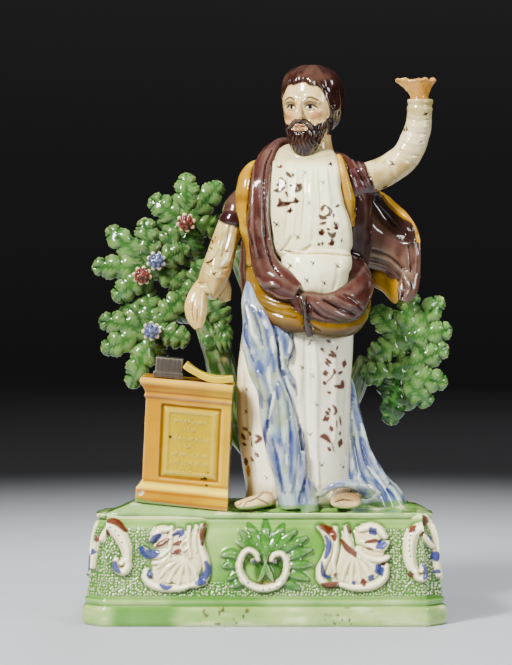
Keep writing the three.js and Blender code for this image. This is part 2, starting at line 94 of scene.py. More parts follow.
class Finish:
    """A material and the way its nodes are added."""

    def __init__(self, name, **shader):
        self.material = bpy.data.materials.new(name)
        self.material.use_nodes = True
        self.shader = self.material.node_tree.nodes["Principled BSDF"]
        for socket, value in shader.items():
            self.shader.inputs[socket.replace("_", " ")].default_value = value

    def add(self, kind, settings, inputs, output=0):
        node = self.material.node_tree.nodes.new(kind)
        for key, value in settings.items():
            if key == "stops":
                ramp = node.color_ramp
                while len(ramp.elements) < len(value):
                    ramp.elements.new(1)
                for element, (position, color) in zip(ramp.elements, value):
                    element.position = position
                    element.color = color
            else:
                setattr(node, key, value)
        for key, value in inputs.items():
            self.feed(node.inputs[key], value)
        return Amount(self, node.outputs[output])

    def feed(self, socket, value):
        if isinstance(value, Amount):
            self.material.node_tree.links.new(value.socket, socket)
        else:
            socket.default_value = value

    def mixed(self, blend, share, first, second):
        return self.add(
            "ShaderNodeMix", {"data_type": "RGBA", "blend_type": blend, "clamp_factor": True},
            {0: share, 6: first, 7: second}, 2)

    def noise(self, scale, detail=3, roughness=0.55, distortion=0.0):
        place = self.add("ShaderNodeTexCoord", {}, {}, "Object")
        return self.add(
            "ShaderNodeTexNoise", {},
            {"Vector": place, "Scale": scale, "Detail": detail, "Roughness": roughness,
             "Distortion": distortion})

    def between(self, amount, low, high, start=0.0, end=1.0):
        return self.add(
            "ShaderNodeMapRange", {"interpolation_type": "SMOOTHSTEP"},
            {"Value": amount, 1: low, 2: high, 3: start, 4: end})

    def surface(self, **sockets):
        for name, value in sockets.items():
            self.feed(self.shader.inputs[name.replace("_", " ")], value)
        return self.material


def studio_floor():
    bpy.ops.object.select_all(action="DESELECT")
    bpy.ops.mesh.primitive_circle_add(vertices=96, radius=FLOOR_RADIUS * MM, fill_type="NGON")
    floor = bpy.context.object
    floor.name = "studio_floor"
    bpy.ops.object.mode_set(mode="EDIT")
    bpy.ops.mesh.select_mode(type="EDGE")
    rise = WALL_RADIUS - FLOOR_RADIUS
    for step in range(CURVE_STEPS):
        before = step / CURVE_STEPS * math.pi / 2
        turn = (step + 1) / CURVE_STEPS * math.pi / 2
        grow = (FLOOR_RADIUS + rise * math.sin(turn)) / (FLOOR_RADIUS + rise * math.sin(before))
        up = rise * (math.cos(before) - math.cos(turn))
        bpy.ops.mesh.select_all(action="DESELECT")
        mesh = bmesh.from_edit_mesh(floor.data)
        for edge in mesh.edges:
            edge.select_set(edge.is_boundary)
        bmesh.update_edit_mesh(floor.data)
        bpy.ops.mesh.extrude_region_move(TRANSFORM_OT_translate={"value": in_mm(0, 0, up)})
        bpy.ops.transform.resize(value=(grow, grow, 1), center_override=(0, 0, 0))
    bpy.ops.mesh.extrude_region_move(TRANSFORM_OT_translate={"value": in_mm(0, 0, WALL_HEIGHT - rise)})
    bpy.ops.mesh.select_all(action="SELECT")
    bpy.ops.mesh.normals_make_consistent(inside=True)
    bpy.ops.object.mode_set(mode="OBJECT")
    bpy.ops.object.shade_smooth()
    finish = Finish("studio_grey", Roughness=0.6, Specular_IOR_Level=0.2)
    place = finish.add("ShaderNodeTexCoord", {}, {}, "Object")
    away = finish.add("ShaderNodeVectorMath", {"operation": "LENGTH"}, {0: place}, "Value")
    share = finish.between(away, 0.25, 1.0)
    floor.data.materials.append(finish.surface(Base_Color=finish.mixed(
        "MIX", share, (0.385, 0.41, 0.435, 1), (0.012, 0.012, 0.013, 1))))
    return floor


def soft_light(name, place, width, height, power, color=(1, 1, 1), mirrored=True):
    lamp = bpy.data.lights.new(name, "AREA")
    lamp.shape = "RECTANGLE"
    lamp.size = width * MM
    lamp.size_y = height * MM
    lamp.energy = power
    lamp.color = color
    light = bpy.data.objects.new(name, lamp)
    bpy.context.scene.collection.objects.link(light)
    light.location = in_mm(*place)
    light.visible_glossy = mirrored
    aim = Vector(in_mm(0, 0, LIGHT_AIM)) - light.location
    light.rotation_euler = aim.to_track_quat("-Z", "Y").to_euler()
    return light


def studio_camera():
    bpy.ops.object.camera_add(rotation=(math.pi / 2 - VIEW_TILT, 0, 0))
    camera = bpy.context.object
    camera.location = in_mm(
        VIEW_MIDDLE[0],
        VIEW_MIDDLE[1] - VIEW_DISTANCE * math.cos(VIEW_TILT),
        VIEW_MIDDLE[2] + VIEW_DISTANCE * math.sin(VIEW_TILT))
    camera.data.sensor_fit = "VERTICAL"
    camera.data.sensor_height = 24
    camera.data.lens = 24 * PIXEL * VIEW_DISTANCE / (2 * MIDDLE_PY)
    bpy.context.scene.camera = camera


studio_floor()
studio_camera()
soft_light("key_light", (-1050, -1250, 1350), 420, 560, 120, (1.0, 0.98, 0.94))
soft_light("fill_light", (1300, -1000, 700), 400, 700, 18, (0.95, 0.98, 1.0))
soft_light("top_light", (100, -150, 1700), 900, 700, 26, mirrored=False)
soft_light("back_light", (500, 1500, 1100), 900, 700, 26, mirrored=False)
world = bpy.data.worlds.new("studio_air")
world.use_nodes = True
world.node_tree.nodes["Background"].inputs["Color"].default_value = (0.80, 0.83, 0.88, 1)
world.node_tree.nodes["Background"].inputs["Strength"].default_value = 0.10
bpy.context.scene.world = world

# Base: the oblong stand, pressed in one mould with canted corners, a round foot, a stippled frieze with two
# rocaille shells, corner scrolls and a leaf palmette, and a rim. Green glaze, the scrolls left cream and
# touched in by brush with blue and rust.
BASE_LENGTH = 217
BASE_DEPTH = 106
CANT = 12
FRIEZE_LOW = 16.4
FRIEZE_HIGH = 59.4
FRONT_SHARE = 0.6
BASE_STEPS = [
    (0, 2.2), (0.8, 1.2), (1.8, 0.5), (3.2, 0.2), (9.4, 0.2), (10.6, 0.6), (11.6, 1.5), (12.4, 2.5),
    (12.9, 2.4), (13.6, 1.8), (14.6, 1.5), (15.4, 1.8), (FRIEZE_LOW, 3.0), (25, 4.5), (30, 5.3), (42, 6.2),
    (50, 7.0), (55, 8.4), (FRIEZE_HIGH, 10.2), (60.2, 10.9), (61.2, 10.6), (62.4, 10.9), (63.0, 11.7),
    (63.8, 11.2), (65.2, 11.4), (66.1, 12.4), (66.5, 14.2), (66.5, 16.5),
]
GRANULE = 1.65
CAP_DROP = 1.8
SIDE_SHELL = (48.6, 0)
EDGE_MARGIN = 4.5
SINK = 5.5
STRENGTH = 1.45
CREAM = (255, 250, 214)
GREEN = (170, 199, 128)
DEEP_GREEN = (104, 146, 78)
PALE_GREEN = (214, 228, 176)
PAINTED_BLUE = (70, 84, 150)
PAINTED_RUST = (120, 44, 26)


def tint(color):
    """The colour of a glaze, as light from 0 to 1, from how it looks in the fired piece, 0 to 255."""
    share = np.asarray(color, float) / 255
    return np.where(share <= 0.04045, share / 12.92, ((share + 0.055) / 1.055) ** 2.4) ** STRENGTH


def soft_step(values, low, high):
    share = np.clip((values - low) / (high - low), 0, 1)
    return share * share * (3 - 2 * share)


def cloudy(spots, size, layers=3, seed=0):
    """Smooth unevenness from -1 to 1 at each spot, with patches of about the given size."""
    total = np.zeros(len(spots))
    weight = 1.0
    for layer in range(layers):
        place = spots / size + 17.3 * (layer + 1) + 5.1 * seed
        cell = np.floor(place).astype(np.int64)
        part = place - cell
        part = part * part * (3 - 2 * part)
        value = np.zeros(len(spots))
        for corner in np.ndindex(2, 2, 2):
            at = cell + np.array(corner)
            code = (at[:, 0] * 73856093) ^ (at[:, 1] * 19349663) ^ (at[:, 2] * 83492791) ^ (seed * 2654435)
            code = (code ^ (code >> 13)) * 1274126177 & 0x7FFFFFFF
            code = (code ^ (code >> 16)) & 0xFFFF
            share = np.prod(np.where(np.array(corner) == 1, part, 1 - part), axis=1)
            value += share * (code / 32767.5 - 1)
        total += weight * value
        weight *= 0.5
        size *= 0.5
    return total / 1.5


def smooth_line(points, parts=6):
    """A curve through the points, with the same number of parts between each two."""
    points = np.asarray(points, float)
    if len(points) < 3:
        return points
    ends = np.vstack([2 * points[0] - points[1], points, 2 * points[-1] - points[-2]])
    share = np.arange(parts)[:, None] / parts
    line = []
    for p0, p1, p2, p3 in zip(ends, ends[1:], ends[2:], ends[3:]):
        line.append(0.5 * (2 * p1 + (p2 - p0) * share + (2 * p0 - 5 * p1 + 4 * p2 - p3) * share ** 2
                           + (3 * p1 - p0 - 3 * p2 + p3) * share ** 3))
    return np.vstack([*line, points[-1:]])


def touch(flat, points, width, taper=0.0):
    """How near each flat spot lies to a brush line: 1 on it, 0 at half its width and beyond."""
    line = smooth_line(points) if len(points) > 1 else np.asarray([points[0], points[0]], float)
    near = np.zeros(len(flat))
    low = line.min(axis=0) - width
    high = line.max(axis=0) + width
    inside = np.flatnonzero(np.all((flat >= low) & (flat <= high), axis=1))
    if not len(inside):
        return near
    spots = flat[inside]
    best = np.zeros(len(inside))
    count = len(line) - 1
    for step, (start, end) in enumerate(zip(line, line[1:])):
        run = end - start
        along = np.clip(((spots - start) @ run) / max(run @ run, 1e-9), 0, 1)
        away = np.linalg.norm(spots - start - along[:, None] * run, axis=1)
        share = (step + along) / count
        thin = 1 - taper * np.abs(2 * share - 1) ** 1.5
        best = np.maximum(best, 1 - away / (width / 2 * thin))
    near[inside] = np.clip(best, 0, 1)
    return near


def on_its_own(piece):
    bpy.ops.object.select_all(action="DESELECT")
    piece.select_set(True)
    bpy.context.view_layer.objects.active = piece
    return piece


def mesh_piece(name, spots, faces):
    mesh = bpy.data.meshes.new(name)
    mesh.from_pydata((np.asarray(spots) * MM).tolist(), [], faces)
    piece = bpy.data.objects.new(name, mesh)
    bpy.context.scene.collection.objects.link(piece)
    return on_its_own(piece)


def ring_faces(rings, columns, start=0):
    """The faces of a closed skin over rings of points, closed by a fan on each of the last two points."""
    row = np.arange(rings - 1)[:, None] * columns + np.arange(columns)[None, :] + start
    turn = np.roll(np.arange(columns), -1)
    ahead = np.arange(rings - 1)[:, None] * columns + turn[None, :] + start
    faces = np.stack([row, ahead, ahead + columns, row + columns], axis=2).reshape(-1, 4).tolist()
    last = start + (rings - 1) * columns
    low = start + rings * columns
    faces += [[start + b, start + a, low] for a, b in zip(range(columns), turn.tolist())]
    faces += [[last + a, last + b, low + 1] for a, b in zip(range(columns), turn.tolist())]
    return faces


def skin_points(rings):
    """Rings of points as one list, followed by the middles of the first and the last ring."""
    rings = np.asarray(rings)
    return np.vstack([rings.reshape(-1, 3), rings[0].mean(axis=0), rings[-1].mean(axis=0)])


def places(piece):
    spots = np.empty(len(piece.data.vertices) * 3, np.float32)
    piece.data.vertices.foreach_get("co", spots)
    return spots.reshape(-1, 3).astype(float) / MM


def facings(piece):
    normals = np.empty(len(piece.data.vertices) * 3, np.float32)
    piece.data.vertex_normals.foreach_get("vector", normals)
    return normals.reshape(-1, 3).astype(float)


def eased(piece, values, rounds):
    """Rows of values at the spots of a surface, each averaged with its neighbours this many times."""
    edges = np.empty(len(piece.data.edges) * 2, np.int32)
    piece.data.edges.foreach_get("vertices", edges)
    edges = edges.reshape(-1, 2)
    ends = np.concatenate([edges[:, 0], edges[:, 1]])
    others = np.concatenate([edges[:, 1], edges[:, 0]])
    count = np.maximum(np.bincount(ends, minlength=len(piece.data.vertices)), 1)
    for _ in range(rounds):
        values = np.stack([np.bincount(ends, row[others], len(count)) / count for row in values.T], axis=1)
    return values


def hollows(piece, rounds=6):
    """How hollow each spot of a surface is: positive in folds, negative on ridges, in millimetres."""
    spots = places(piece)
    return np.sum((eased(piece, spots, rounds) - spots) * facings(piece), axis=1)


def brushed(paint, *coats):
    """Lays coats over the paint, each a colour and its share at each spot."""
    for color, share in coats:
        paint = paint + (tint(color) - paint) * np.clip(share, 0, 1)[:, None]
    return paint


def dipped(color, spots, *coats):
    """The same colour at every spot, with coats laid over it."""
    return brushed(np.tile(tint(color), (len(spots), 1)), *coats)


def fired(piece, paint, pool, name, **looks):
    """Stores the paint and the depth of the hollows on a smooth-shaded piece and gives it this glaze."""
    on_its_own(piece)
    bpy.ops.object.shade_smooth()
    piece.data.materials.append(glaze(name, **looks))
    layer = piece.data.color_attributes.new("paint", "FLOAT_COLOR", "POINT")
    rgba = np.ones((len(paint), 4), np.float32)
    rgba[:, :3] = np.clip(paint, 0, 1)
    layer.data.foreach_set("color", rgba.ravel())
    depth = piece.data.attributes.new("pool", "FLOAT", "POINT")
    depth.data.foreach_set("value", pool.astype(np.float32))


def glaze(name, thin=0.35, thick=0.55, wave=0.35, mottle=0.10, speck=0.5, gloss=1.0):
    """Coloured lead glaze over cream earthenware. It runs thin and pale off the ridges and gathers, darker,
    in the hollows. Its face is glossy and slightly wavy, with a few brown specks."""
    finish = Finish(
        name, Roughness=0.3, IOR=1.5, Specular_IOR_Level=0.12,
        Coat_Weight=gloss, Coat_Roughness=0.04, Coat_IOR=1.5)
    paint = finish.add("ShaderNodeAttribute", {"attribute_name": "paint"}, {}, "Color")
    pool = finish.add("ShaderNodeAttribute", {"attribute_name": "pool"}, {}, "Fac")
    thinned = finish.between(pool, -0.02, -0.30, 0, thin)
    gathered = finish.between(pool, 0.02, 0.35, 0, thick)
    color = finish.mixed("SCREEN", thinned * 0.5, paint, (0.55, 0.50, 0.38, 1))
    deep = finish.mixed("MULTIPLY", 1.0, paint, (0.50, 0.46, 0.40, 1))
    color = finish.mixed("MIX", gathered, color, deep)
    cloud = finish.noise(55, 4, 0.6)
    shade = finish.between(cloud, 0.25, 0.75, 1 - mottle, 1 + mottle)
    color = finish.add(
        "ShaderNodeVectorMath", {"operation": "SCALE"}, {"Vector": color, "Scale": shade}, "Vector")
    grain = finish.noise(420, 2, 0.5)
    dot = finish.between(grain, 0.735, 0.775, 0, speck)
    color = finish.mixed("MIX", dot, color, (0.10, 0.055, 0.03, 1))
    ripple = finish.noise(120, 2, 0.5)
    bump = finish.add(
        "ShaderNodeBump", {}, {"Strength": wave, "Distance": 0.0009, "Height": ripple}, "Normal")
    return finish.surface(
        Base_Color=color, Normal=bump,
        Roughness=finish.between(cloud, 0.3, 0.8, 0.16, 0.30))


def base_outline():
    """Points round the base, front first and anticlockwise, with the way that each faces."""
    x = BASE_LENGTH / 2
    y = BASE_DEPTH / 2
    turns = [(CANT - x, -y), (x - CANT, -y), (x, CANT - y), (x, y - CANT),
             (x - CANT, y), (CANT - x, y), (-x, y - CANT), (-x, CANT - y)]
    fine = 0.19
    points = []
    for start, end in zip(np.array(turns), np.array(turns[1:] + turns[:1])):
        count = max(2, round(np.linalg.norm(end - start) / fine))
        points.append(start + (end - start) * (np.arange(count) / count)[:, None])
    points = np.vstack(points)
    reach = np.arange(-24, 25)
    weights = np.exp(-0.5 * (reach * fine / 2.1) ** 2)
    soft = sum(w * np.roll(points, -r, axis=0) for w, r in zip(weights / weights.sum(), reach))
    run = np.roll(soft, -1, axis=0) - np.roll(soft, 1, axis=0)
    out = np.stack([run[:, 1], -run[:, 0]], axis=1)
    out /= np.linalg.norm(out, axis=1)[:, None]
    gap = np.where(out[:, 1] < -0.3, 0.52, np.where(out[:, 1] > 0.3, 4.0, 1.1))
    walked = np.cumsum(fine / gap)
    pick = np.searchsorted(walked, np.arange(0.5, walked[-1]))
    return soft[pick], out[pick]


# The relief was read off an enlarged view of the base, and its spots are kept in that view's units.
# These say how many of them go to a pixel of the front view, where the left and top edge lie there, where the
# foot of the base lies, and the millimetres to a pixel across and pixels to a millimetre up.
ENLARGED = 4.126
ENLARGED_LEFT = 80
ENLARGED_TOP = 490
FOOT_PY = 628
ACROSS_PER_PX = 0.587
PX_PER_UP = 1.703


def on_front(*points):
    """Spots on the frieze, as distance from the middle and height, from their places in the enlarged view."""
    view = [(ENLARGED_LEFT + across / ENLARGED, ENLARGED_TOP + down / ENLARGED) for across, down in points]
    return [((px - MIDDLE_PX) * ACROSS_PER_PX, (FOOT_PY - py) / PX_PER_UP) for px, py in view]


# Each ridge of the relief is a width and a height, and the line that it follows.
LEFT_SHELL = [
    (10, 1.3, [(338, 378), (370, 345), (350, 300)]), (9, 1.3, [(345, 200), (370, 230)]),
    (9, 1.5, [(410, 190), (400, 270), (365, 340)]), (9, 1.5, [(450, 190), (440, 280), (420, 350)]),
    (10, 1.4, [(352, 195), (356, 250), (342, 320), (330, 365)]), (9, 1.4, [(390, 365), (470, 370)]),
    (9, 1.5, [(488, 190), (490, 280), (480, 350)]),
    (4.8, 3.1, [(515, 155), (505, 200), (510, 250), (522, 290), (530, 330), (523, 370), (500, 385)]),
    (3.2, 2.4, [(490, 155), (480, 210), (487, 260)]), (3.2, 2.4, [(460, 158), (455, 220), (466, 280)]),
    (3, 2.3, [(432, 200), (428, 240), (440, 290)]), (4.2, 2.3, [(450, 290), (478, 340), (492, 378)]),
    (4.2, 2.3, [(445, 292), (452, 345), (456, 390)]), (4.2, 2.3, [(440, 292), (425, 345), (415, 392)]),
    (4.2, 2.3, [(436, 290), (398, 335), (375, 382)]), (4.2, 2.3, [(430, 286), (375, 320), (342, 362)]),
    (4.2, 2.2, [(425, 280), (365, 300), (330, 325)]),
    (5.4, 3.4, [(288, 335), (285, 365), (310, 393), (360, 408), (420, 408), (450, 402)]),
    (6.4, 3.6, [(300, 350)]), (4.8, 3.2, [(462, 398), (490, 390), (522, 384)]),
    (5.2, 3.4, [(378, 165), (338, 172), (310, 210)]), (4.2, 3.0, [(380, 200), (350, 224), (325, 232)]),
    (4.6, 3.4, [(378, 248), (346, 274), (306, 272), (284, 252)]),
    (4.4, 2.9, [(376, 275), (350, 298), (318, 304)]), (3.6, 2.8, [(388, 158), (384, 220), (378, 290)]),
    (3.6, 2.8, [(396, 182), (420, 174), (436, 190), (425, 214)]),
    (3.2, 2.6, [(396, 226), (430, 220), (452, 204)]), (3.2, 2.6, [(396, 262), (430, 255), (456, 240)]),
]
RIGHT_SHELL = [
    (10, 1.3, [(1150, 190), (1205, 205)]), (10, 1.3, [(1170, 258), (1220, 262)]),
    (9, 1.5, [(1090, 190), (1090, 260), (1062, 340)]), (9, 1.5, [(1140, 250), (1150, 320), (1130, 368)]),
    (9, 1.5, [(1185, 290), (1196, 335)]), (8, 1.5, [(1035, 190), (1036, 250), (1020, 340)]),
    (10, 1.4, [(1140, 185), (1168, 225)]), (10, 1.4, [(1050, 365), (1140, 376), (1200, 345)]),
    (5.2, 3.4, [(985, 160), (1010, 195), (1020, 240), (1005, 290), (985, 330), (985, 370), (1010, 393),
        (1045, 390)]), (3.6, 2.8, [(1045, 160), (1048, 230), (1036, 300), (1042, 345)]),
    (4.4, 3.2, [(1090, 158), (1090, 200), (1110, 250), (1142, 282)]),
    (4.2, 2.3, [(1112, 272), (1085, 325), (1072, 372)]),
    (4.2, 2.3, [(1118, 275), (1108, 335), (1106, 388)]),
    (4.2, 2.3, [(1124, 276), (1136, 335), (1144, 388)]),
    (4.2, 2.3, [(1130, 276), (1162, 322), (1182, 368)]),
    (4.2, 2.3, [(1134, 274), (1176, 302), (1208, 335)]),
    (5.6, 3.5, [(1248, 318), (1242, 360), (1210, 390), (1160, 404), (1110, 404), (1070, 394)]),
    (5.6, 3.5, [(1140, 168), (1175, 157), (1215, 165), (1242, 196)]),
    (5.2, 3.5, [(1150, 215), (1190, 236), (1230, 242), (1250, 222)]),
    (4.8, 3.3, [(1130, 250), (1170, 280), (1220, 292), (1252, 282)]), (5.6, 3.9, [(1040, 356)]),
]
LEFT_SCROLL = [
    (8.2, 3.0, [(80, 205), (98, 165), (140, 152), (178, 185), (205, 240), (212, 288)]),
    (5.2, 3.8, [(166, 292), (170, 330), (196, 340), (214, 316), (204, 292), (186, 306)]),
    (4, 2.8, [(62, 200), (50, 260), (48, 330)]),
]
RIGHT_SCROLL = [
    (4.2, 2.8, [(1385, 162), (1420, 180), (1442, 210), (1460, 240)]),
    (8.2, 3.0, [(1420, 168), (1385, 162), (1352, 190), (1341, 240), (1344, 300), (1360, 340)]),
    (5.2, 3.8, [(1366, 340), (1376, 366), (1404, 366), (1416, 342), (1402, 320), (1388, 336)]),
    (4.6, 3.0, [(1452, 108), (1478, 160), (1484, 230), (1474, 300), (1480, 362)]),
]
PALMETTE_SCROLL = [
    (4.4, 4.2, [(735, 290), (722, 262), (690, 252), (664, 290), (662, 335), (685, 382), (730, 408),
        (780, 408), (822, 388), (846, 345), (848, 295), (826, 266), (798, 272), (788, 292)]),
    (3.8, 4.6, [(715, 296)]), (3.8, 4.6, [(800, 298)]),
]
PALMETTE_LEAVES = [
    (9.4, 2.4, [(765, 300), (765, 210), (765, 130)]), (8, 2.4, [(752, 262), (722, 195), (696, 146)]),
    (8, 2.4, [(780, 262), (810, 195), (836, 148)]), (8, 2.4, [(742, 268), (700, 212), (664, 176)]),
    (8, 2.4, [(790, 268), (842, 208), (882, 172)]), (7.4, 2.4, [(735, 280), (690, 238), (656, 222)]),
    (8.6, 2.4, [(800, 278), (866, 232), (926, 200)]), (9, 2.5, [(845, 292), (896, 265), (944, 250)]),
    (9, 2.5, [(852, 318), (902, 312), (946, 312)]), (8.6, 2.4, [(848, 348), (892, 356), (932, 372)]),
    (7.4, 2.3, [(832, 380), (868, 394), (898, 410)]), (9, 2.5, [(672, 292), (632, 268), (592, 272)]),
    (8.6, 2.5, [(664, 318), (628, 312), (598, 318)]), (7.4, 2.3, [(668, 348), (640, 354), (616, 370)]),
    (7, 2.3, [(684, 380), (655, 390), (630, 404)]), (5, 2.4, [(765, 300), (754, 345), (738, 378)]),
    (5, 2.4, [(765, 300), (778, 345), (794, 378)]),
]
BUD_PLACES = [
    (730, 228), (810, 230), (765, 236), (700, 196), (842, 230), (835, 186), (640, 262), (905, 228),
    (905, 288), (765, 180), (650, 342), (880, 340),
]
PALMETTE_BUDS = [(3.2, 3.3, [bud]) for bud in BUD_PLACES]
# Each touch of the brush is a width and its line.
RUST_TOUCHES = [
    (3.4, [(128, 132), (168, 137), (204, 172)]), (2.8, [(115, 168), (138, 188)]),
    (2.6, [(66, 196), (62, 216)]), (2.8, [(330, 232), (350, 222), (377, 204)]),
    (2, [(395, 226), (415, 221), (428, 212)]), (2.4, [(392, 263), (410, 258), (428, 250)]),
    (3.2, [(520, 148), (512, 180), (512, 228)]), (4, [(985, 155), (1010, 165), (1035, 185), (1040, 206)]),
    (2.2, [(1092, 153), (1105, 183)]), (3.4, [(1070, 212), (1090, 240), (1115, 260), (1124, 274)]),
    (2, [(1162, 218), (1200, 213), (1228, 215)]), (1.6, [(1165, 240), (1192, 249)]),
    (3.8, [(993, 392), (1020, 397), (1048, 388)]), (3.4, [(1044, 350), (1044, 356)]),
    (3.8, [(1155, 375), (1158, 393)]), (3, [(1343, 174), (1362, 154)]), (2.4, [(1384, 191), (1412, 177)]),
    (2.8, [(1345, 342), (1348, 360)]), (2.6, [(1445, 113), (1455, 152)]), (2.2, [(1230, 312), (1242, 304)]),
]
BLUE_TOUCHES = [
    (3.8, [(308, 216), (325, 200), (342, 190)]), (4.8, [(268, 246), (285, 264), (310, 270), (334, 260)]),
    (2.6, [(395, 190), (410, 180), (432, 177), (422, 197)]), (3.4, [(300, 338), (302, 364)]),
    (2.6, [(343, 393), (365, 405), (388, 400)]), (3.8, [(525, 300), (536, 330), (521, 360), (500, 380)]),
    (3.6, [(488, 386), (522, 384)]), (3, [(1005, 193), (1018, 220), (1015, 250), (1004, 282)]),
    (2.2, [(990, 300), (995, 350), (1022, 366)]), (4.6, [(1186, 163), (1202, 182)]),
    (4.6, [(1213, 236), (1242, 224)]), (5, [(1214, 318), (1226, 350)]), (3.8, [(1183, 373), (1192, 358)]),
    (3.6, [(1117, 384), (1119, 388)]), (3.2, [(164, 298), (165, 325), (182, 341)]),
    (3.4, [(1395, 313), (1416, 335), (1400, 366)]), (3.4, [(1470, 268), (1468, 297)]),
    (3.4, [(1472, 343), (1473, 348)]), (3.6, [(715, 296)]), (3.2, [(800, 298)]),
    (2.4, [(1450, 198), (1460, 222)]), (2.6, [(50, 272), (52, 254)]),
]
BLUE_DOTS = [
    (102, 157), (123, 152), (143, 157), (163, 170), (177, 190), (190, 218), (1362, 170), (1345, 190),
    (1340, 210), (1340, 232), (1340, 252), (1343, 275), (695, 385), (755, 412), (780, 408), (810, 398),
    (832, 375),
]
BLUE_TOUCHES += [(2, [dot]) for dot in BLUE_DOTS]


def relief_at(flat, ridges, taper=0.35):
    """Height of moulded relief: soft crests that run together where they meet."""
    crests = [height * soft_step(touch(flat, on_front(*line), width * 1.25, taper), 0, 0.85)
              for width, height, line in ridges]
    return np.sum(np.array(crests) ** 4, axis=0) ** 0.25


def granules(flat, seed=3):
    """Small raised grains pricked into the mould: 1 at the top of a grain and 0 between them."""
    cell = np.floor(flat / GRANULE)
    top = np.zeros(len(flat))
    for step in np.ndindex(3, 3):
        at = cell + np.array(step) - 1
        code = np.sin(at @ np.array([12.9898, 78.233]) + seed) * 43758.5453
        other = np.sin(at @ np.array([39.3467, 11.135]) + seed) * 24634.6345
        jitter = np.stack([code - np.floor(code), other - np.floor(other)], axis=1)
        size = 0.36 + 0.16 * (jitter[:, 0] * 7 % 1)
        away = np.linalg.norm(flat - (at + 0.15 + 0.70 * jitter) * GRANULE, axis=1)
        top = np.maximum(top, 1 - away / (GRANULE * size))
    return soft_step(top, 0, 0.7)


def frieze(flat, facing):
    """Relief height and paint over the moulded faces, from flat places and which face each is on: 0 front and
    its cants, 1 right, 2 back, 3 left."""
    front = facing == 0
    side = (facing == 1) | (facing == 3)
    shells = np.where(front, np.maximum(relief_at(flat, LEFT_SHELL), relief_at(flat, RIGHT_SHELL)), 0)
    shells = np.where(side, relief_at(flat - np.array(SIDE_SHELL), LEFT_SHELL), shells)
    scrolls = np.where(front, np.maximum(relief_at(flat, LEFT_SCROLL), relief_at(flat, RIGHT_SCROLL)), 0)
    scrolls = np.where(front, np.maximum(scrolls, relief_at(flat, PALMETTE_SCROLL)), scrolls)
    leaves = np.where(front, relief_at(flat, PALMETTE_LEAVES, 0.6), 0)
    leaves *= 1 + 0.22 * cloudy(np.column_stack([flat, facing * 50.0]), 3.2, 2, 5)
    leaves = np.where(front, np.maximum(leaves, relief_at(flat, PALMETTE_BUDS)), leaves)
    cream = np.maximum(shells, scrolls)
    u = np.abs(flat[:, 0])
    z = flat[:, 1]
    inside = soft_step(z, FRIEZE_LOW + 0.6, FRIEZE_LOW + 2.4) * (1 - soft_step(z, 57.2, 58.6))
    wander = cloudy(np.column_stack([flat, facing * 50.0]), 14, 2, 4)
    low = 1 - soft_step(z + 3 * wander, 24, 28)
    stippled = np.maximum(soft_step(u + 3 * wander, 63, 68), low)
    stippled = np.maximum(stippled, 0.8 * soft_step(wander, 0.35, 0.5) * (u > 24))
    stippled = np.where(side, 1.0, np.where(facing == 2, 0.0, stippled)) * inside
    grains = granules(flat) * stippled * (cream < 0.3) * (leaves < 0.3)
    height = np.maximum(np.maximum(cream, leaves * inside), 0.8 * grains)
    return height, cream, leaves, grains, stippled


def sunk(spots):
    """How far the base sank in firing: its far corners are lower than the rest of the top."""
    x, y, z = spots.T
    ends = np.maximum(soft_step(-x, 58, 88), soft_step(x, 82, 106))
    return SINK * ends * soft_step(y, -30, 45) * soft_step(z, 20, 62)


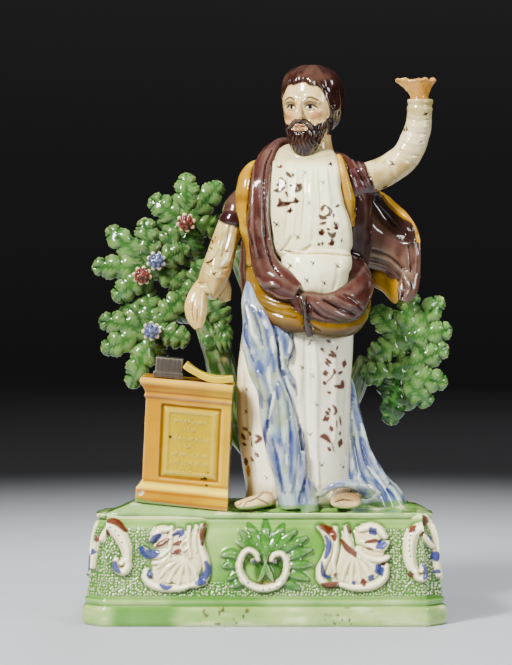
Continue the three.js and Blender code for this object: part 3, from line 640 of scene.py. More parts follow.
def base_piece():
    outline, out = base_outline()
    columns = len(outline)
    heights = np.array([z for z, _ in BASE_STEPS])
    insets = np.array([inset for _, inset in BASE_STEPS])
    run = np.concatenate([[0], np.cumsum(np.hypot(np.diff(heights), np.diff(insets)))])
    coarse = run[-1] * np.concatenate([
        np.linspace(0, 0.02, 4)[:-1], np.linspace(0.02, 0.24, 26)[:-1], np.linspace(0.24, 0.80, 79)[:-1],
        np.linspace(0.80, 1, 22)])
    z = np.interp(coarse, run, heights)
    inset = np.interp(coarse, run, insets)
    rows = len(z)
    way = out * np.array([1, FRONT_SHARE])
    rings = np.empty((rows, columns, 3))
    rings[..., :2] = outline[None] - way[None] * inset[:, None, None]
    rings[..., 2] = z[:, None]
    facing = np.select([out[:, 1] < -0.3, out[:, 0] > 0.7, out[:, 1] > 0.3], [0, 1, 2], 3)
    along = np.select([facing == 0, facing == 1, facing == 2],
                      [outline[:, 0] * 0.965, outline[:, 1], -outline[:, 0]], -outline[:, 1])
    flat = np.stack(np.broadcast_arrays(along[None, :], z[:, None]), axis=2).reshape(-1, 2)
    faces_of = np.broadcast_to(facing[None, :], (rows, columns)).reshape(-1)
    height, cream, leaves, grains, stippled = frieze(flat, faces_of)
    spots = rings.reshape(-1, 3)
    uneven = 0.35 * cloudy(spots, 22, 3, 1)
    lift = (height + uneven)[:, None] * np.tile(np.column_stack([out, np.zeros(columns)]), (rows, 1))
    spots = spots + lift
    broad = cloudy(spots, 30, 3, 2)
    foot = 1 - soft_step(spots[:, 2], 11.4, 12.2)
    streaks = cloudy(spots * np.array([0.45, 0.45, 1.6]), 9, 3, 7)
    left = soft_step(-spots[:, 0] + 4 * streaks, 48, 58) * (1 - soft_step(-spots[:, 0] + 4 * streaks, 86, 94))
    pricks = soft_step(cloudy(spots, 2.4, 2, 8), 0.36, 0.56) * soft_step(cloudy(spots, 16, 2, 9), -0.1, 0.3)
    groove = np.exp(-((spots[:, 2] - 12.4) / 0.7) ** 2) + np.exp(-((spots[:, 2] - 16.6) / 0.9) ** 2)
    band = soft_step(spots[:, 2], 57.5, 58.8) * (1 - soft_step(spots[:, 2], 62.4, 63.2))
    patchy = 0.55 + 0.45 * soft_step(cloudy(spots, 11, 3, 6), -0.5, 0.4)
    skirt = relief_edge(flat, faces_of)
    heart = soft_step(np.hypot((flat[:, 0] - 4) / 11, (flat[:, 1] - 33) / 10.5), 1.05, 0.8) * (faces_of == 0)
    paint = dipped(
        GREEN, spots,
        (PALE_GREEN, 0.8 * soft_step(broad, 0.0, 0.5)),
        ((118, 168, 78), 0.85 * soft_step(-broad, 0.0, 0.5)),
        ((192, 210, 146), foot * 0.55),
        ((154, 186, 104), 0.6 * foot * soft_step(streaks, -0.1, 0.5)),
        ((226, 232, 192), 0.6 * foot * soft_step(-streaks, 0.1, 0.6)),
        ((104, 162, 72), 0.85 * foot * left),
        ((104, 66, 40), 0.85 * pricks * foot * soft_step(spots[:, 0], -52, -30)),
        (DEEP_GREEN, 0.55 * groove),
        ((156, 192, 112), 0.75 * band),
        ((232, 240, 182), 0.85 * soft_step(spots[:, 2], 62.9, 63.6)),
        ((88, 138, 62), 0.8 * stippled),
        ((226, 234, 190), patchy * soft_step(grains, 0.35, 0.9)),
        ((74, 130, 58), 0.9 * soft_step(leaves, 0.2, 1.2)),
        ((120, 170, 88), 0.6 * soft_step(leaves + 0.5 * broad, 1.9, 2.6)),
        ((202, 218, 164), 0.8 * soft_step(leaves, 2.9, 3.3)),
        ((92, 128, 66), 0.7 * skirt * (cream < 0.4)),
        ((58, 106, 48), 0.8 * heart * (leaves < 1.6)),
        ((176, 158, 104), 0.7 * heart * soft_step(28 - flat[:, 1], 0, 3)),
        (CREAM, soft_step(cream, 0.25, 0.9)),
        # Painted shade: tan on the slopes of the cream relief, below its crests.
        ((206, 186, 140), 0.4 * soft_step(cream, 0.4, 1.4) * (1 - soft_step(cream, 2.0, 2.8))))
    drawn = np.zeros(len(spots))
    front = faces_of == 0
    side = faces_of % 2 == 1
    beside = flat - np.array(SIDE_SHELL)
    for at, where, color, touches in (
            (flat, front, PAINTED_RUST, RUST_TOUCHES), (flat, front, PAINTED_BLUE, BLUE_TOUCHES),
            (beside, side, PAINTED_RUST, RUST_TOUCHES[:4]), (beside, side, PAINTED_BLUE, BLUE_TOUCHES[:8])):
        for width, line in touches:
            share = where * soft_step(touch(at, on_front(*line), width * 1.5, 0.5), 0.04, 0.34)
            paint = brushed(paint, (color, 0.96 * share))
            drawn = np.maximum(drawn, share)
    rim = rings[-1]
    top = [rim * np.array([shrink, shrink, 1]) - np.array([0, 0, CAP_DROP])
           for shrink in (0.9, 0.7, 0.45, 0.2, 0.04)]
    under = rings[0] * np.array([0.97, 0.94, 1])
    inner = under * np.array([0.05, 0.05, 1])
    all_rings = [inner, under, *spots.reshape(rows, columns, 3), *top]
    skin = skin_points(all_rings)
    skin[:, 2] -= sunk(skin)
    piece = mesh_piece("base", skin, ring_faces(len(all_rings), columns))
    plain = dipped((188, 206, 150), rim)
    paint = np.vstack([plain, plain, paint, *[plain] * len(top), plain[:1], plain[:1]])
    return piece, paint, np.pad(drawn, (2 * columns, len(top) * columns + 2))


def relief_edge(flat, facing):
    """A margin round the cream relief, where the green glaze has run together."""
    ridges = LEFT_SHELL + RIGHT_SHELL + LEFT_SCROLL + RIGHT_SCROLL + PALMETTE_SCROLL
    near = np.max([touch(flat, on_front(*line), width + EDGE_MARGIN) for width, _, line in ridges], axis=0)
    return soft_step(near, 0.0, 0.45) * (facing == 0)


base, base_paint, base_drawn = base_piece()
fired(base, base_paint, hollows(base, 4) * (1 - 0.9 * base_drawn), "green_lead_glaze", wave=0.3)
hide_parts("base")
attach(base, "root")

# Altar: the pedestal beside the figure, with a moulded cap, a plinth and a sunk panel that frames a small
# tablet. Ochre glaze, yellower on the tablet. It leans and slumped out of square as it was fired.
ALTAR_FOOT = (-48.8, -23.4, 70.2)
ALTAR_LEAN = 0.045
ALTAR_TURN = -0.03
ALTAR_SLUMP = 0.05
ALTAR_WIDTH = 48.4
ALTAR_DEPTH = 33
ALTAR_HEIGHT = 74.6
PLINTH_OUT = 3.4
PLINTH_HEIGHT = 6.2
SHAFT_LOW = 13.6
SHAFT_HIGH = 62.2
SHAFT_MIDDLE = 37.9
ALTAR_STEPS = [
    (8.4, 3.4), (9.4, 3.0), (10.6, 1.3), (11.6, 1.1), (SHAFT_LOW, 0.0), (SHAFT_HIGH, 0.0), (63.0, 1.1),
    (64.2, 1.1), (64.9, 0.4), (66.2, 0.7), (68.6, 2.0), (70.4, 3.4), (71.2, 3.8), (73.8, 3.8),
    (ALTAR_HEIGHT, 3.0),
]
PANEL_WIDTH = 34
PANEL_HEIGHT = 44.5
PANEL_LOW = 15.4
PANEL_ASIDE = 2.4
PANEL_INSETS = [(0.4, -2.0), (1.3, 0), (0.5, 1.0), (2.4, 0.9), (0.5, -0.9)]
RIGHT_WALL = 27
OCHRE = (202, 160, 0)
WARM_OCHRE = (200, 152, 0)
TABLET_YELLOW = (198, 178, 0)
# Height, reach and colour of the bands along the mouldings: painted highlights on the plinth's upper slope
# and the top of the cap, painted shade in the grooves under the mouldings. Then the two ends of a chip at
# the plinth, and place and size of the pits in the glaze.
MOULDING_LIGHT_AND_SHADE = [
    (10.6, 1.9, (250, 232, 110)), (1.6, 1.2, (168, 104, 0)), (13.4, 0.7, (160, 104, 0)),
    (7.0, 0.8, (176, 112, 0)), (63.4, 0.9, (150, 92, 0)), (66.4, 0.6, (150, 92, 0)),
    (72.6, 1.0, (236, 200, 40)),
]
PLINTH_CHIP = [(-24.8, 5.2), (-23.6, 6.2)]
GLAZE_PITS = [(9.4, 17.6, 1.5), (7.6, 17.2, 1.0), (10.4, 13.9, 1.1), (-10.8, 40.4, 1.3), (10.8, 21.4, 0.8)]


def put(piece, spots):
    piece.data.vertices.foreach_set("co", (spots * MM).astype(np.float32).ravel())
    piece.data.update()


def swelling(near):
    """The round section of a moulded ridge from how near its line is."""
    return np.sqrt(np.clip(1 - (1 - near) ** 2, 0, 1))


def altar_placed(spots):
    """Altar sizes, measured up from the middle of its foot, to their place on the base."""
    x = spots[:, 0]
    y = spots[:, 1]
    z = spots[:, 2] - ALTAR_SLUMP * x
    turned = np.stack([
        x * math.cos(ALTAR_TURN) - y * math.sin(ALTAR_TURN),
        x * math.sin(ALTAR_TURN) + y * math.cos(ALTAR_TURN), z], axis=1)
    leant = turned.copy()
    leant[:, 0] = turned[:, 0] * math.cos(ALTAR_LEAN) + turned[:, 2] * math.sin(ALTAR_LEAN)
    leant[:, 2] = turned[:, 2] * math.cos(ALTAR_LEAN) - turned[:, 0] * math.sin(ALTAR_LEAN)
    return leant + np.array(ALTAR_FOOT)


def applied(piece, kind, **settings):
    """Adds a modifier with these settings and applies it."""
    on_its_own(piece)
    modifier = piece.modifiers.new(kind.lower(), kind)
    for key, value in settings.items():
        setattr(modifier, key, value)
    bpy.ops.object.modifier_apply(modifier=modifier.name)
    return piece


def cube_piece(name, low, high):
    """A block with its lowest and highest corners, in edit mode with nothing selected."""
    bpy.ops.object.select_all(action="DESELECT")
    bpy.ops.mesh.primitive_cube_add(size=1)
    piece = bpy.context.object
    piece.name = name
    size = [b - a for a, b in zip(low, high)]
    middle = [(a + b) / 2 for a, b in zip(low, high)]
    bpy.ops.object.mode_set(mode="EDIT")
    bpy.ops.transform.resize(value=in_mm(*size), center_override=(0, 0, 0))
    bpy.ops.transform.translate(value=in_mm(*middle))
    bpy.ops.mesh.select_mode(type="FACE")
    bpy.ops.mesh.select_all(action="DESELECT")
    return piece


def choose_face(piece, wanted):
    """Selects, in edit mode, the one face for which wanted(middle in mm, normal) is greatest."""
    bpy.ops.mesh.select_all(action="DESELECT")
    mesh = bmesh.from_edit_mesh(piece.data)
    max(mesh.faces, key=lambda face: wanted(face.calc_center_median() / MM, face.normal)).select_set(True)
    bmesh.update_edit_mesh(piece.data)


def altar_piece():
    wide, deep = ALTAR_WIDTH / 2, ALTAR_DEPTH / 2
    low, out = PLINTH_HEIGHT, PLINTH_OUT
    altar = cube_piece("altar", (-wide - out, -deep - out, 0), (wide + out, deep + out, low))
    choose_face(altar, lambda middle, normal: normal.z)
    for high, next_out in ALTAR_STEPS:
        bpy.ops.mesh.extrude_region_move(TRANSFORM_OT_translate={"value": in_mm(0, 0, high - low)})
        bpy.ops.transform.resize(
            value=((wide + next_out) / (wide + out), (deep + next_out) / (deep + out), 1),
            center_override=in_mm(0, 0, high))
        low, out = high, next_out
    choose_face(altar, lambda middle, normal: -normal.y * 100 - abs(middle.z - SHAFT_MIDDLE))
    bpy.ops.mesh.inset(thickness=(ALTAR_WIDTH - PANEL_WIDTH) / 2 * MM)
    bpy.ops.transform.resize(
        value=(1, 1, PANEL_HEIGHT / (SHAFT_HIGH - SHAFT_LOW - ALTAR_WIDTH + PANEL_WIDTH)),
        center_override=in_mm(0, 0, SHAFT_MIDDLE))
    bpy.ops.transform.translate(value=in_mm(PANEL_ASIDE, 0, PANEL_LOW + PANEL_HEIGHT / 2 - SHAFT_MIDDLE))
    for thickness, depth in PANEL_INSETS:
        bpy.ops.mesh.inset(thickness=thickness * MM, depth=depth * MM)
    bpy.ops.object.mode_set(mode="OBJECT")
    applied(altar, "BEVEL", width=0.45 * MM, segments=2, limit_method="ANGLE")
    applied(altar, "REMESH", mode="VOXEL", voxel_size=0.68 * MM)
    applied(altar, "SMOOTH", factor=0.5, iterations=2)
    return altar


def tablet_strokes():
    """Rows of short raised strokes in no order, to break up the tablet's face."""
    rows = [(50.6, 9.6), (45.9, 3.4), (40.4, 10.4), (35.6, 2.6), (31.0, 9.8), (26.0, 10.6), (21.6, 5.2)]
    random = np.random.default_rng(12)
    strokes = []
    for z, reach in rows:
        x = -reach + 0.6
        while x < reach:
            lean = random.uniform(-0.5, 0.5)
            tall = random.uniform(0.6, 1.15)
            strokes.append([(x - lean, z - tall), (x + lean, z + tall)])
            if random.random() < 0.4:
                strokes.append([(x - 0.2, z + random.choice([-0.8, 0.0, 0.8])), (x + 0.9, z + 0.1)])
            x += random.uniform(1.15, 2.1)
    return strokes


def finished_altar():
    altar = altar_piece()
    spots = places(altar)
    out = facings(altar)
    flat = spots[:, [0, 2]] - np.array([PANEL_ASIDE, 0])
    front = (out[:, 1] < -0.5) & (spots[:, 1] > -ALTAR_DEPTH / 2 - 0.9)
    strokes = np.max([swelling(touch(flat, line, 0.85)) for line in tablet_strokes()], axis=0) * front
    uneven = 0.32 * cloudy(spots, 20, 3, 5)
    spots += out * (0.42 * strokes + uneven)[:, None]
    broad = cloudy(spots, 24, 3, 6)
    above = np.abs(flat[:, 1] - PANEL_LOW - PANEL_HEIGHT / 2)
    inner = (np.abs(flat[:, 0]) < PANEL_WIDTH / 2 - 0.6) & (above < PANEL_HEIGHT / 2 - 0.6) & front
    groove = inner * np.maximum(soft_step(np.abs(flat[:, 0]), PANEL_WIDTH / 2 - 2.4, PANEL_WIDTH / 2 - 1.2),
                                soft_step(above, PANEL_HEIGHT / 2 - 2.4, PANEL_HEIGHT / 2 - 1.2))
    sideways = np.column_stack([spots[:, 0] * 0.25, spots[:, 1], spots[:, 2] * 2.2])
    lines = cloudy(sideways, 6, 2, 7)
    mouldings = (spots[:, 2] > SHAFT_HIGH + 0.1) | (spots[:, 2] < SHAFT_LOW)
    paint = dipped(
        OCHRE, spots,
        (WARM_OCHRE, 0.7 * soft_step(broad - 0.06 * (flat[:, 0] + 17), 0.0, 0.9)),
        ((212, 182, 10), 0.7 * soft_step(flat[:, 0] + 8 * broad, 2, 16)),
        (TABLET_YELLOW, 0.85 * inner),
        ((150, 118, 0), 0.8 * inner * soft_step(-strokes, -0.7, -0.1) * (strokes > 0.02)),
        # Painted shade in the groove round the tablet.
        ((168, 112, 0), 0.75 * groove),
        ((186, 116, 2), 0.45 * mouldings * soft_step(lines, 0.15, 0.7)),
        ((226, 196, 50), 0.5 * mouldings * soft_step(-lines, 0.3, 0.9)))
    # Bands of painted highlight on the plinth and cap, and painted shade in the grooves under the mouldings.
    for middle, reach, color in MOULDING_LIGHT_AND_SHADE:
        paint = brushed(paint, (color, 0.75 * np.exp(-((spots[:, 2] + 0.3 * broad - middle) / reach) ** 2)))
    chip = touch(spots[:, [0, 2]], PLINTH_CHIP, 2.6) * (out[:, 1] < -0.2)
    paint = brushed(paint, ((236, 228, 206), soft_step(chip, 0.15, 0.4)))
    spots -= out * (0.7 * soft_step(chip, 0.1, 0.6))[:, None]
    run = soft_step(3.4 + 1.4 * broad - 0.11 * (spots[:, 0] + 25) - spots[:, 2], 0.0, 0.6)
    paint = brushed(paint, ((124, 160, 80), 0.9 * run))
    bulged = np.minimum(
        spots[:, 0] * 2 * RIGHT_WALL / ALTAR_WIDTH, RIGHT_WALL + 0.1 * (spots[:, 0] - ALTAR_WIDTH / 2))
    spots[:, 0] = np.where(spots[:, 0] > 0, bulged, spots[:, 0])
    for x, z, size in GLAZE_PITS:
        pit = touch(flat, [(x, z)], size * 2) * (out[:, 1] < -0.5)
        paint = brushed(paint, ((70, 50, 14), soft_step(pit, 0.1, 0.5)))
    put(altar, altar_placed(spots))
    fired(altar, paint, hollows(altar, 5), "ochre_lead_glaze", thick=0.6, wave=0.3, speck=0.25, gloss=0.45)
    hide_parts("altar")
    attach(altar, "root")


finished_altar()


# Paper: the open sheet on the altar, a thick leaf of clay that curls up at its left end. Yellow glaze, with a
# painted highlight along its edges. It was laid on the cap before firing.
PAPER_DEPTH = 16.4
PAPER_THICK = 4.0
PAPER_GAP = 0.12
PAPER_LINE = [(-0.9, 10.7), (4.6, 7.4), (10.6, 4.7), (17.5, 3.9), (26.6, 5.2)]


def paper_piece():
    bpy.ops.object.select_all(action="DESELECT")
    bpy.ops.mesh.primitive_grid_add(x_subdivisions=56, y_subdivisions=34, size=1)
    paper = bpy.context.object
    paper.name = "scroll"
    flat = places(paper) * MM
    along = flat[:, 0] + 0.5
    across = flat[:, 1] * PAPER_DEPTH
    line = smooth_line(PAPER_LINE, 24)
    step = np.linspace(0, 1, len(line))
    x = np.interp(along, step, line[:, 0])
    z = np.interp(along, step, line[:, 1])
    spots = np.column_stack([x, across - 9 + 0.4 * np.sin(along * 5), z + ALTAR_HEIGHT + 0.3])
    spots[:, 2] += 0.25 * np.sin(along * 9 + across * 0.3)
    put(paper, spots)
    applied(paper, "SOLIDIFY", thickness=PAPER_THICK * MM, offset=-1)
    applied(paper, "BEVEL", width=0.5 * MM, segments=2, limit_method="ANGLE", angle_limit=math.radians(50))
    applied(paper, "REMESH", mode="VOXEL", voxel_size=0.5 * MM)
    applied(paper, "SMOOTH", factor=0.5, iterations=2)
    spots = places(paper)
    spots[:, 2] = np.maximum(spots[:, 2], ALTAR_HEIGHT + PAPER_GAP)
    broad = cloudy(spots, 12, 3, 8)
    edge = hollows(paper, 8)
    paint = dipped(
        (214, 192, 0), spots,
        ((204, 172, 0), 0.6 * soft_step(broad, 0.1, 0.8)),
        # Painted highlight along the sheet's edges.
        ((228, 208, 30), 0.6 * soft_step(-edge + 0.08 * broad, 0.16, 0.34)))
    put(paper, altar_placed(spots))
    fired(paper, paint, edge, "yellow_lead_glaze", thin=0.2, speck=0.2, gloss=0.45)
    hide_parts("scroll")
    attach(paper, "root")


paper_piece()


# Books: two closed books at the altar's back corner, the upper one with raised bands across its back. Dark
# manganese glaze, with a painted highlight along the bands.
BOOK_GAP = 0.25
LOWER_BOOK = 3.4
UPPER_BOOK = 7.6
BAND_PLACES = (-16.4, -13.6, -12.0, -8.8, -6.6)


def books_piece():
    low = ALTAR_HEIGHT + BOOK_GAP
    books = cube_piece("books", (-20.6, -14, low), (-2.6, 3, low + LOWER_BOOK))
    choose_face(books, lambda middle, normal: normal.z)
    bpy.ops.mesh.inset(thickness=0.9 * MM, depth=0)
    bpy.ops.transform.translate(value=in_mm(0.3, 0, 0))
    bpy.ops.mesh.extrude_region_move(TRANSFORM_OT_translate={"value": in_mm(0, 0, 1.0)})
    bpy.ops.mesh.inset(thickness=-0.4 * MM, depth=0)
    bpy.ops.mesh.extrude_region_move(TRANSFORM_OT_translate={"value": in_mm(0, 0, UPPER_BOOK)})
    bpy.ops.object.mode_set(mode="OBJECT")
    applied(books, "REMESH", mode="VOXEL", voxel_size=0.5 * MM)
    applied(books, "SMOOTH", factor=0.5, iterations=3)
    spots = places(books)
    out = facings(books)
    flat = spots[:, [0, 2]]
    front = out[:, 1] < -0.5
    high = low + 4.8
    bands = [[(x, high), (x + 0.2, high + 6.2)] for x in BAND_PLACES]
    bands.append([(-17.6, low + 1.8), (-5.0, low + 1.5)])
    ridge = np.max([swelling(touch(flat, band, 1.5)) for band in bands], axis=0) * front
    spots += out * (0.16 * ridge + 0.2 * cloudy(spots, 8, 2, 9))[:, None]
    paint = dipped(
        (104, 98, 92), spots,
        # Painted highlight along the raised bands.
        ((104, 104, 110), 0.4 * soft_step(ridge + 0.5 * cloudy(spots, 3, 2, 12), 0.6, 1.2)),
        ((84, 72, 72), 0.6 * soft_step(cloudy(spots, 7, 3, 10), 0.0, 0.7)))
    put(books, altar_placed(spots))
    fired(books, paint, hollows(books, 6), "grey_manganese_glaze", thin=0.3, speck=0.1, gloss=0.6)
    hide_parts("books")
    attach(books, "root")


books_piece()

# Ground: the low mound that fills the top of the base inside its rim and rises under the altar. It is
# hand-pressed clay in runny green glaze, cream where the glaze ran off the high places.
MOUND_MIDDLE = (14, 4)
MOUND_REACH = (84, 38)
MOUND_TOP = 69.6
ALTAR_BED = 69.8
BED_SLOPE = 0.095
BED_HALF = (30, 19)
GROUND_EDGE = 65.6
GROUND_BROW = 66.4
GROUND_HALF = (100, 47)
GROUND_THICK = 2.5


def ground_heights(spots):
    """The height of the ground at each place: a hill, and a sloping bed for the altar."""
    x, y = spots[:, 0], spots[:, 1]
    away = np.hypot((x - MOUND_MIDDLE[0]) / MOUND_REACH[0], (y - MOUND_MIDDLE[1]) / MOUND_REACH[1])
    hill = GROUND_BROW + (MOUND_TOP - GROUND_BROW) * np.sqrt(np.clip(1 - away ** 2, 0, 1))
    turned_x = (x - ALTAR_FOOT[0]) * math.cos(ALTAR_TURN) + (y - ALTAR_FOOT[1]) * math.sin(ALTAR_TURN)
    turned_y = (y - ALTAR_FOOT[1]) * math.cos(ALTAR_TURN) - (x - ALTAR_FOOT[0]) * math.sin(ALTAR_TURN)
    outside = np.hypot(np.clip(np.abs(turned_x) - BED_HALF[0] + 1, 0, None),
                       np.clip(np.abs(turned_y) - BED_HALF[1] + 1, 0, None))
    bed = ALTAR_BED - BED_SLOPE * (x - ALTAR_FOOT[0]) - 0.5 * outside
    lump = 0.9 * cloudy(np.column_stack([x, y, 0 * x]), 11, 3, 21) + 0.4 * cloudy(spots, 3.2, 2, 22)
    edge = np.minimum(GROUND_HALF[0] - np.abs(x), GROUND_HALF[1] - np.abs(y))
    height = np.maximum(hill + lump * soft_step(edge, 0, 5), bed + 0.25 * lump)
    return GROUND_EDGE + (height - GROUND_EDGE) * soft_step(edge, -0.5, 3.0)


def ground_piece():
    bpy.ops.mesh.primitive_grid_add(x_subdivisions=168, y_subdivisions=78, size=1)
    ground = bpy.context.active_object
    ground.name = "ground"
    spots = places(ground) * MM
    corner = np.clip(2 * np.abs(spots[:, 0]) + 2 * np.abs(spots[:, 1]) - 1.86, 0, None)
    spots[:, :2] *= 2 * np.array(GROUND_HALF)
    spots[:, :2] *= (1 - 0.35 * corner)[:, None]
    spots[:, 2] = ground_heights(spots)
    spots[:, 2] -= sunk(spots)
    put(ground, spots)
    applied(ground, "SOLIDIFY", thickness=GROUND_THICK * MM, offset=-1)
    spots = places(ground)
    broad = cloudy(spots, 9, 3, 23)
    paint = dipped(
        (146, 186, 106), spots,
        ((98, 146, 74), 0.6 * soft_step(-broad, 0.0, 0.5)),
        ((222, 226, 184), 0.8 * soft_step(broad, 0.25, 0.6)),
        ((132, 104, 64), 0.5 * soft_step(cloudy(spots, 5, 2, 24), 0.5, 0.8)))
    fired(ground, paint, hollows(ground, 8), "ground_glaze", wave=0.35)
    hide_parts("base")
    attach(ground, "root")


ground_piece()

# Robe and mantle: the lower half of the man, pressed with his feet. The robe is pearl-glazed cream with rust
# sprigs; the mantle hangs over it in front and trails at the right, streaked with blue that ran in the glaze.
ROBE_STATIONS = [
    (20, -6, 64, 32.5, 26), (20, -6, 79.5, 31.6, 26), (17.4, -6, 109.5, 33.6, 26),
    (17.4, -6, 139.5, 34.2, 25.5), (20, -6, 169.5, 33.5, 25), (22, -5, 197.5, 31, 23),
    (25, -5, 216, 27, 20),
]
MANTLE_STATIONS = [
    (-6, -15, 205, 4.5, 5), (-4.6, -22, 192, 9.5, 7), (-1, -27, 180, 12.5, 8), (2, -29.5, 166, 16.0, 8),
    (2, -30.5, 152, 12.0, 7), (6, -31.5, 140, 11.0, 7), (9, -32, 119.5, 11.5, 6.5), (12.5, -32, 104, 12, 7),
    (15.5, -32, 86, 10, 6.5), (17, -31, 68, 8, 6),
]
TAIL_STATIONS = [
    (44, 0, 153, 1.4, 3), (50, 0, 144, 3, 7), (52, 0, 119.5, 7, 11), (54, 0, 100.5, 9.5, 12),
    (57.6, -2, 85, 12.6, 14), (61, -3, 77, 15.6, 15), (64, -4, 69, 19.6, 15), (66, -5, 61, 21, 16),
]
LEFT_FOOT = [
    (2, -26, 73, 6, 4.6), (-5, -33, 72, 6.6, 3.9), (-12, -38, 71, 6.2, 2.9), (-16, -40.5, 70.6, 4.6, 2.2),
]
RIGHT_FOOT = [
    (49, -24, 75, 8, 6.4), (48.5, -32, 73.6, 9.2, 4.8), (48, -38.5, 72, 9.2, 3.6),
    (47.6, -43, 71, 7.6, 2.2),
]
HEM = [
    (33, -33, 76, 2.4, 2.6), (39, -36, 81, 2.6, 3), (47, -36, 83.4, 2.6, 3.2), (56, -32, 81, 3, 5),
    (62, -27, 76, 4, 6),
]
ROBE_CREAM = (255, 250, 228)
MANTLE_PALE = (190, 202, 196)
MANTLE_BLUE = (70, 90, 158)
DARK_BLUE = (44, 58, 120)
HIGHLIGHT_WHITE = (238, 242, 236)
SKIN = (226, 202, 154)
SPRIG_RUST = (116, 44, 32)
MARK_BROWN = (74, 50, 34)
REAR_THINNED = 0.7


def in_view(spots):
    """Where each spot lies in the front view, in its pixels."""
    near = VIEW_DISTANCE / (VIEW_DISTANCE + spots[:, 1])
    drop = VIEW_MIDDLE[2] - spots[:, 2] - math.tan(VIEW_TILT) * spots[:, 1]
    return np.stack([MIDDLE_PX + spots[:, 0] * PIXEL * near, MIDDLE_PY + drop * PIXEL * near], axis=1)


def flowing(stations, count):
    """Evenly many points along a smooth path through the stations, their sizes carried with them."""
    points = np.asarray(stations, float)
    knots = np.concatenate([[0], np.cumsum(np.linalg.norm(np.diff(points[:, :3], axis=0), axis=1) ** 0.5)])
    slopes = np.gradient(points, knots, axis=0)
    at = np.linspace(0, knots[-1], count)
    leg = np.clip(np.searchsorted(knots, at, "right") - 1, 0, len(knots) - 2)
    reach = (knots[leg + 1] - knots[leg])[:, None]
    share = (at - knots[leg])[:, None] / reach
    square, cube = share ** 2, share ** 3
    return ((2 * cube - 3 * square + 1) * points[leg] + (cube - 2 * square + share) * reach * slopes[leg]
            + (3 * square - 2 * cube) * points[leg + 1] + (cube - square) * reach * slopes[leg + 1])


def sweep(stations, sides=72, steps=90, across=(1, 0, 0), through=None, swell=None):
    """Rings of a form drawn out along stations of x, y, z, half across and half through."""
    line = flowing(stations, steps + 1)
    centre = line[:, :3]
    along = np.gradient(centre, axis=0)
    along /= np.linalg.norm(along, axis=1)[:, None]
    first = np.tile(np.asarray(across, float), (steps + 1, 1))
    if through is None:
        first -= along * (first * along).sum(axis=1)[:, None]
        first /= np.linalg.norm(first, axis=1)[:, None]
        second = np.cross(along, first)
    else:
        second = np.tile(np.asarray(through, float), (steps + 1, 1))
    angle = np.arange(sides) / sides * 2 * math.pi
    share = np.linspace(0, 1, steps + 1)[:, None]
    size = np.ones((steps + 1, sides)) if swell is None else swell(angle[None, :], share)
    return (centre[:, None, :]
            + first[:, None, :] * (line[:, 3, None] * size * np.cos(angle))[..., None]
            + second[:, None, :] * (line[:, 4, None] * size * np.sin(angle))[..., None])


def joined(name, forms):
    """Several closed forms as one mesh that faces outward."""
    spots, faces, start = [], [], 0
    for rings in forms:
        spots.append(skin_points(rings))
        faces += ring_faces(rings.shape[0], rings.shape[1], start)
        start += len(spots[-1])
    piece = mesh_piece(name, np.vstack(spots), faces)
    bpy.ops.object.mode_set(mode="EDIT")
    bpy.ops.mesh.select_all(action="SELECT")
    bpy.ops.mesh.normals_make_consistent(inside=False)
    bpy.ops.object.mode_set(mode="OBJECT")
    return piece


def moulded(name, forms, voxel, ease=3):
    """One clay skin over several closed forms, with its joins and edges softened and fewer faces behind."""
    piece = joined(name, forms)
    applied(piece, "REMESH", mode="VOXEL", voxel_size=voxel * MM)
    applied(piece, "SMOOTH", factor=0.5, iterations=ease)
    behind = piece.vertex_groups.new(name="behind")
    rear = facings(piece)[:, 1] > 0.15
    behind.add(np.flatnonzero(rear).tolist(), 1.0, "REPLACE")
    applied(piece, "DECIMATE", ratio=1 - REAR_THINNED * rear.mean(), vertex_group="behind")
    piece.vertex_groups.clear()
    return piece


def traced(spots, forms):
    """Which form each spot belongs to, and its angle and distance along that form, 0 to 1."""
    tree = kdtree.KDTree(sum(rings.shape[0] * rings.shape[1] for rings in forms))
    facts = []
    for number, rings in enumerate(forms):
        count, sides = rings.shape[:2]
        turn, step = np.meshgrid(np.arange(sides) / sides * 2 * math.pi, np.linspace(0, 1, count))
        base_index = len(facts)
        facts += np.column_stack([np.full(turn.size, number), turn.ravel(), step.ravel()]).tolist()
        for index, spot in enumerate(rings.reshape(-1, 3)):
            tree.insert(spot, base_index + index)
    tree.balance()
    found = np.array([facts[tree.find(spot)[1]] for spot in spots])
    return found[:, 0].astype(int), found[:, 1], found[:, 2]


def lifted(view, ridges, taper=0.55):
    """How far soft ridges, drawn as lines in the view, stand out; with a negative height they go in."""
    return sum(height * soft_step(touch(view, line, width, taper), 0, 1) for width, height, line in ridges)


def raised(spots, out, view, ridges, front):
    return spots + out * (lifted(view, ridges) * front)[:, None]


def front_of(piece, low, high):
    """A piece's spots, which way each faces, where each lies in the front view and how far it faces front."""
    spots = places(piece)
    out = facings(piece)
    return spots, out, in_view(spots), soft_step(-out[:, 1], low, high)


def softened(piece, spots, factor, rounds):
    """Moves a piece's surface to these spots, eases it a little and gives its new spots."""
    put(piece, spots)
    applied(piece, "SMOOTH", factor=factor, iterations=rounds)
    return places(piece)


def sprigged(paint, view, front, leaves, color, size=1.0):
    """Leaf-shaped dabs of a loaded brush, each with its width and line in the front view."""
    for width, line in leaves:
        share = soft_step(touch(view, line, width * size, 0.5), 0.04, 0.4)
        paint = brushed(paint, (color, 0.95 * share * front))
    return paint


def crosses(points, reach=2.3, width=1.0):
    """Small brushed crosses at these places in the front view."""
    lines = []
    for index, (px, py) in enumerate(points):
        lean = 0.5 * math.sin(index * 2.3)
        lines.append((width, [(px - reach, py - reach + lean), (px + reach, py + reach * 0.8)]))
        lines.append((width * 0.9, [(px + reach * 0.8, py - reach), (px - reach * 0.6 + lean, py + reach)]))
    return lines


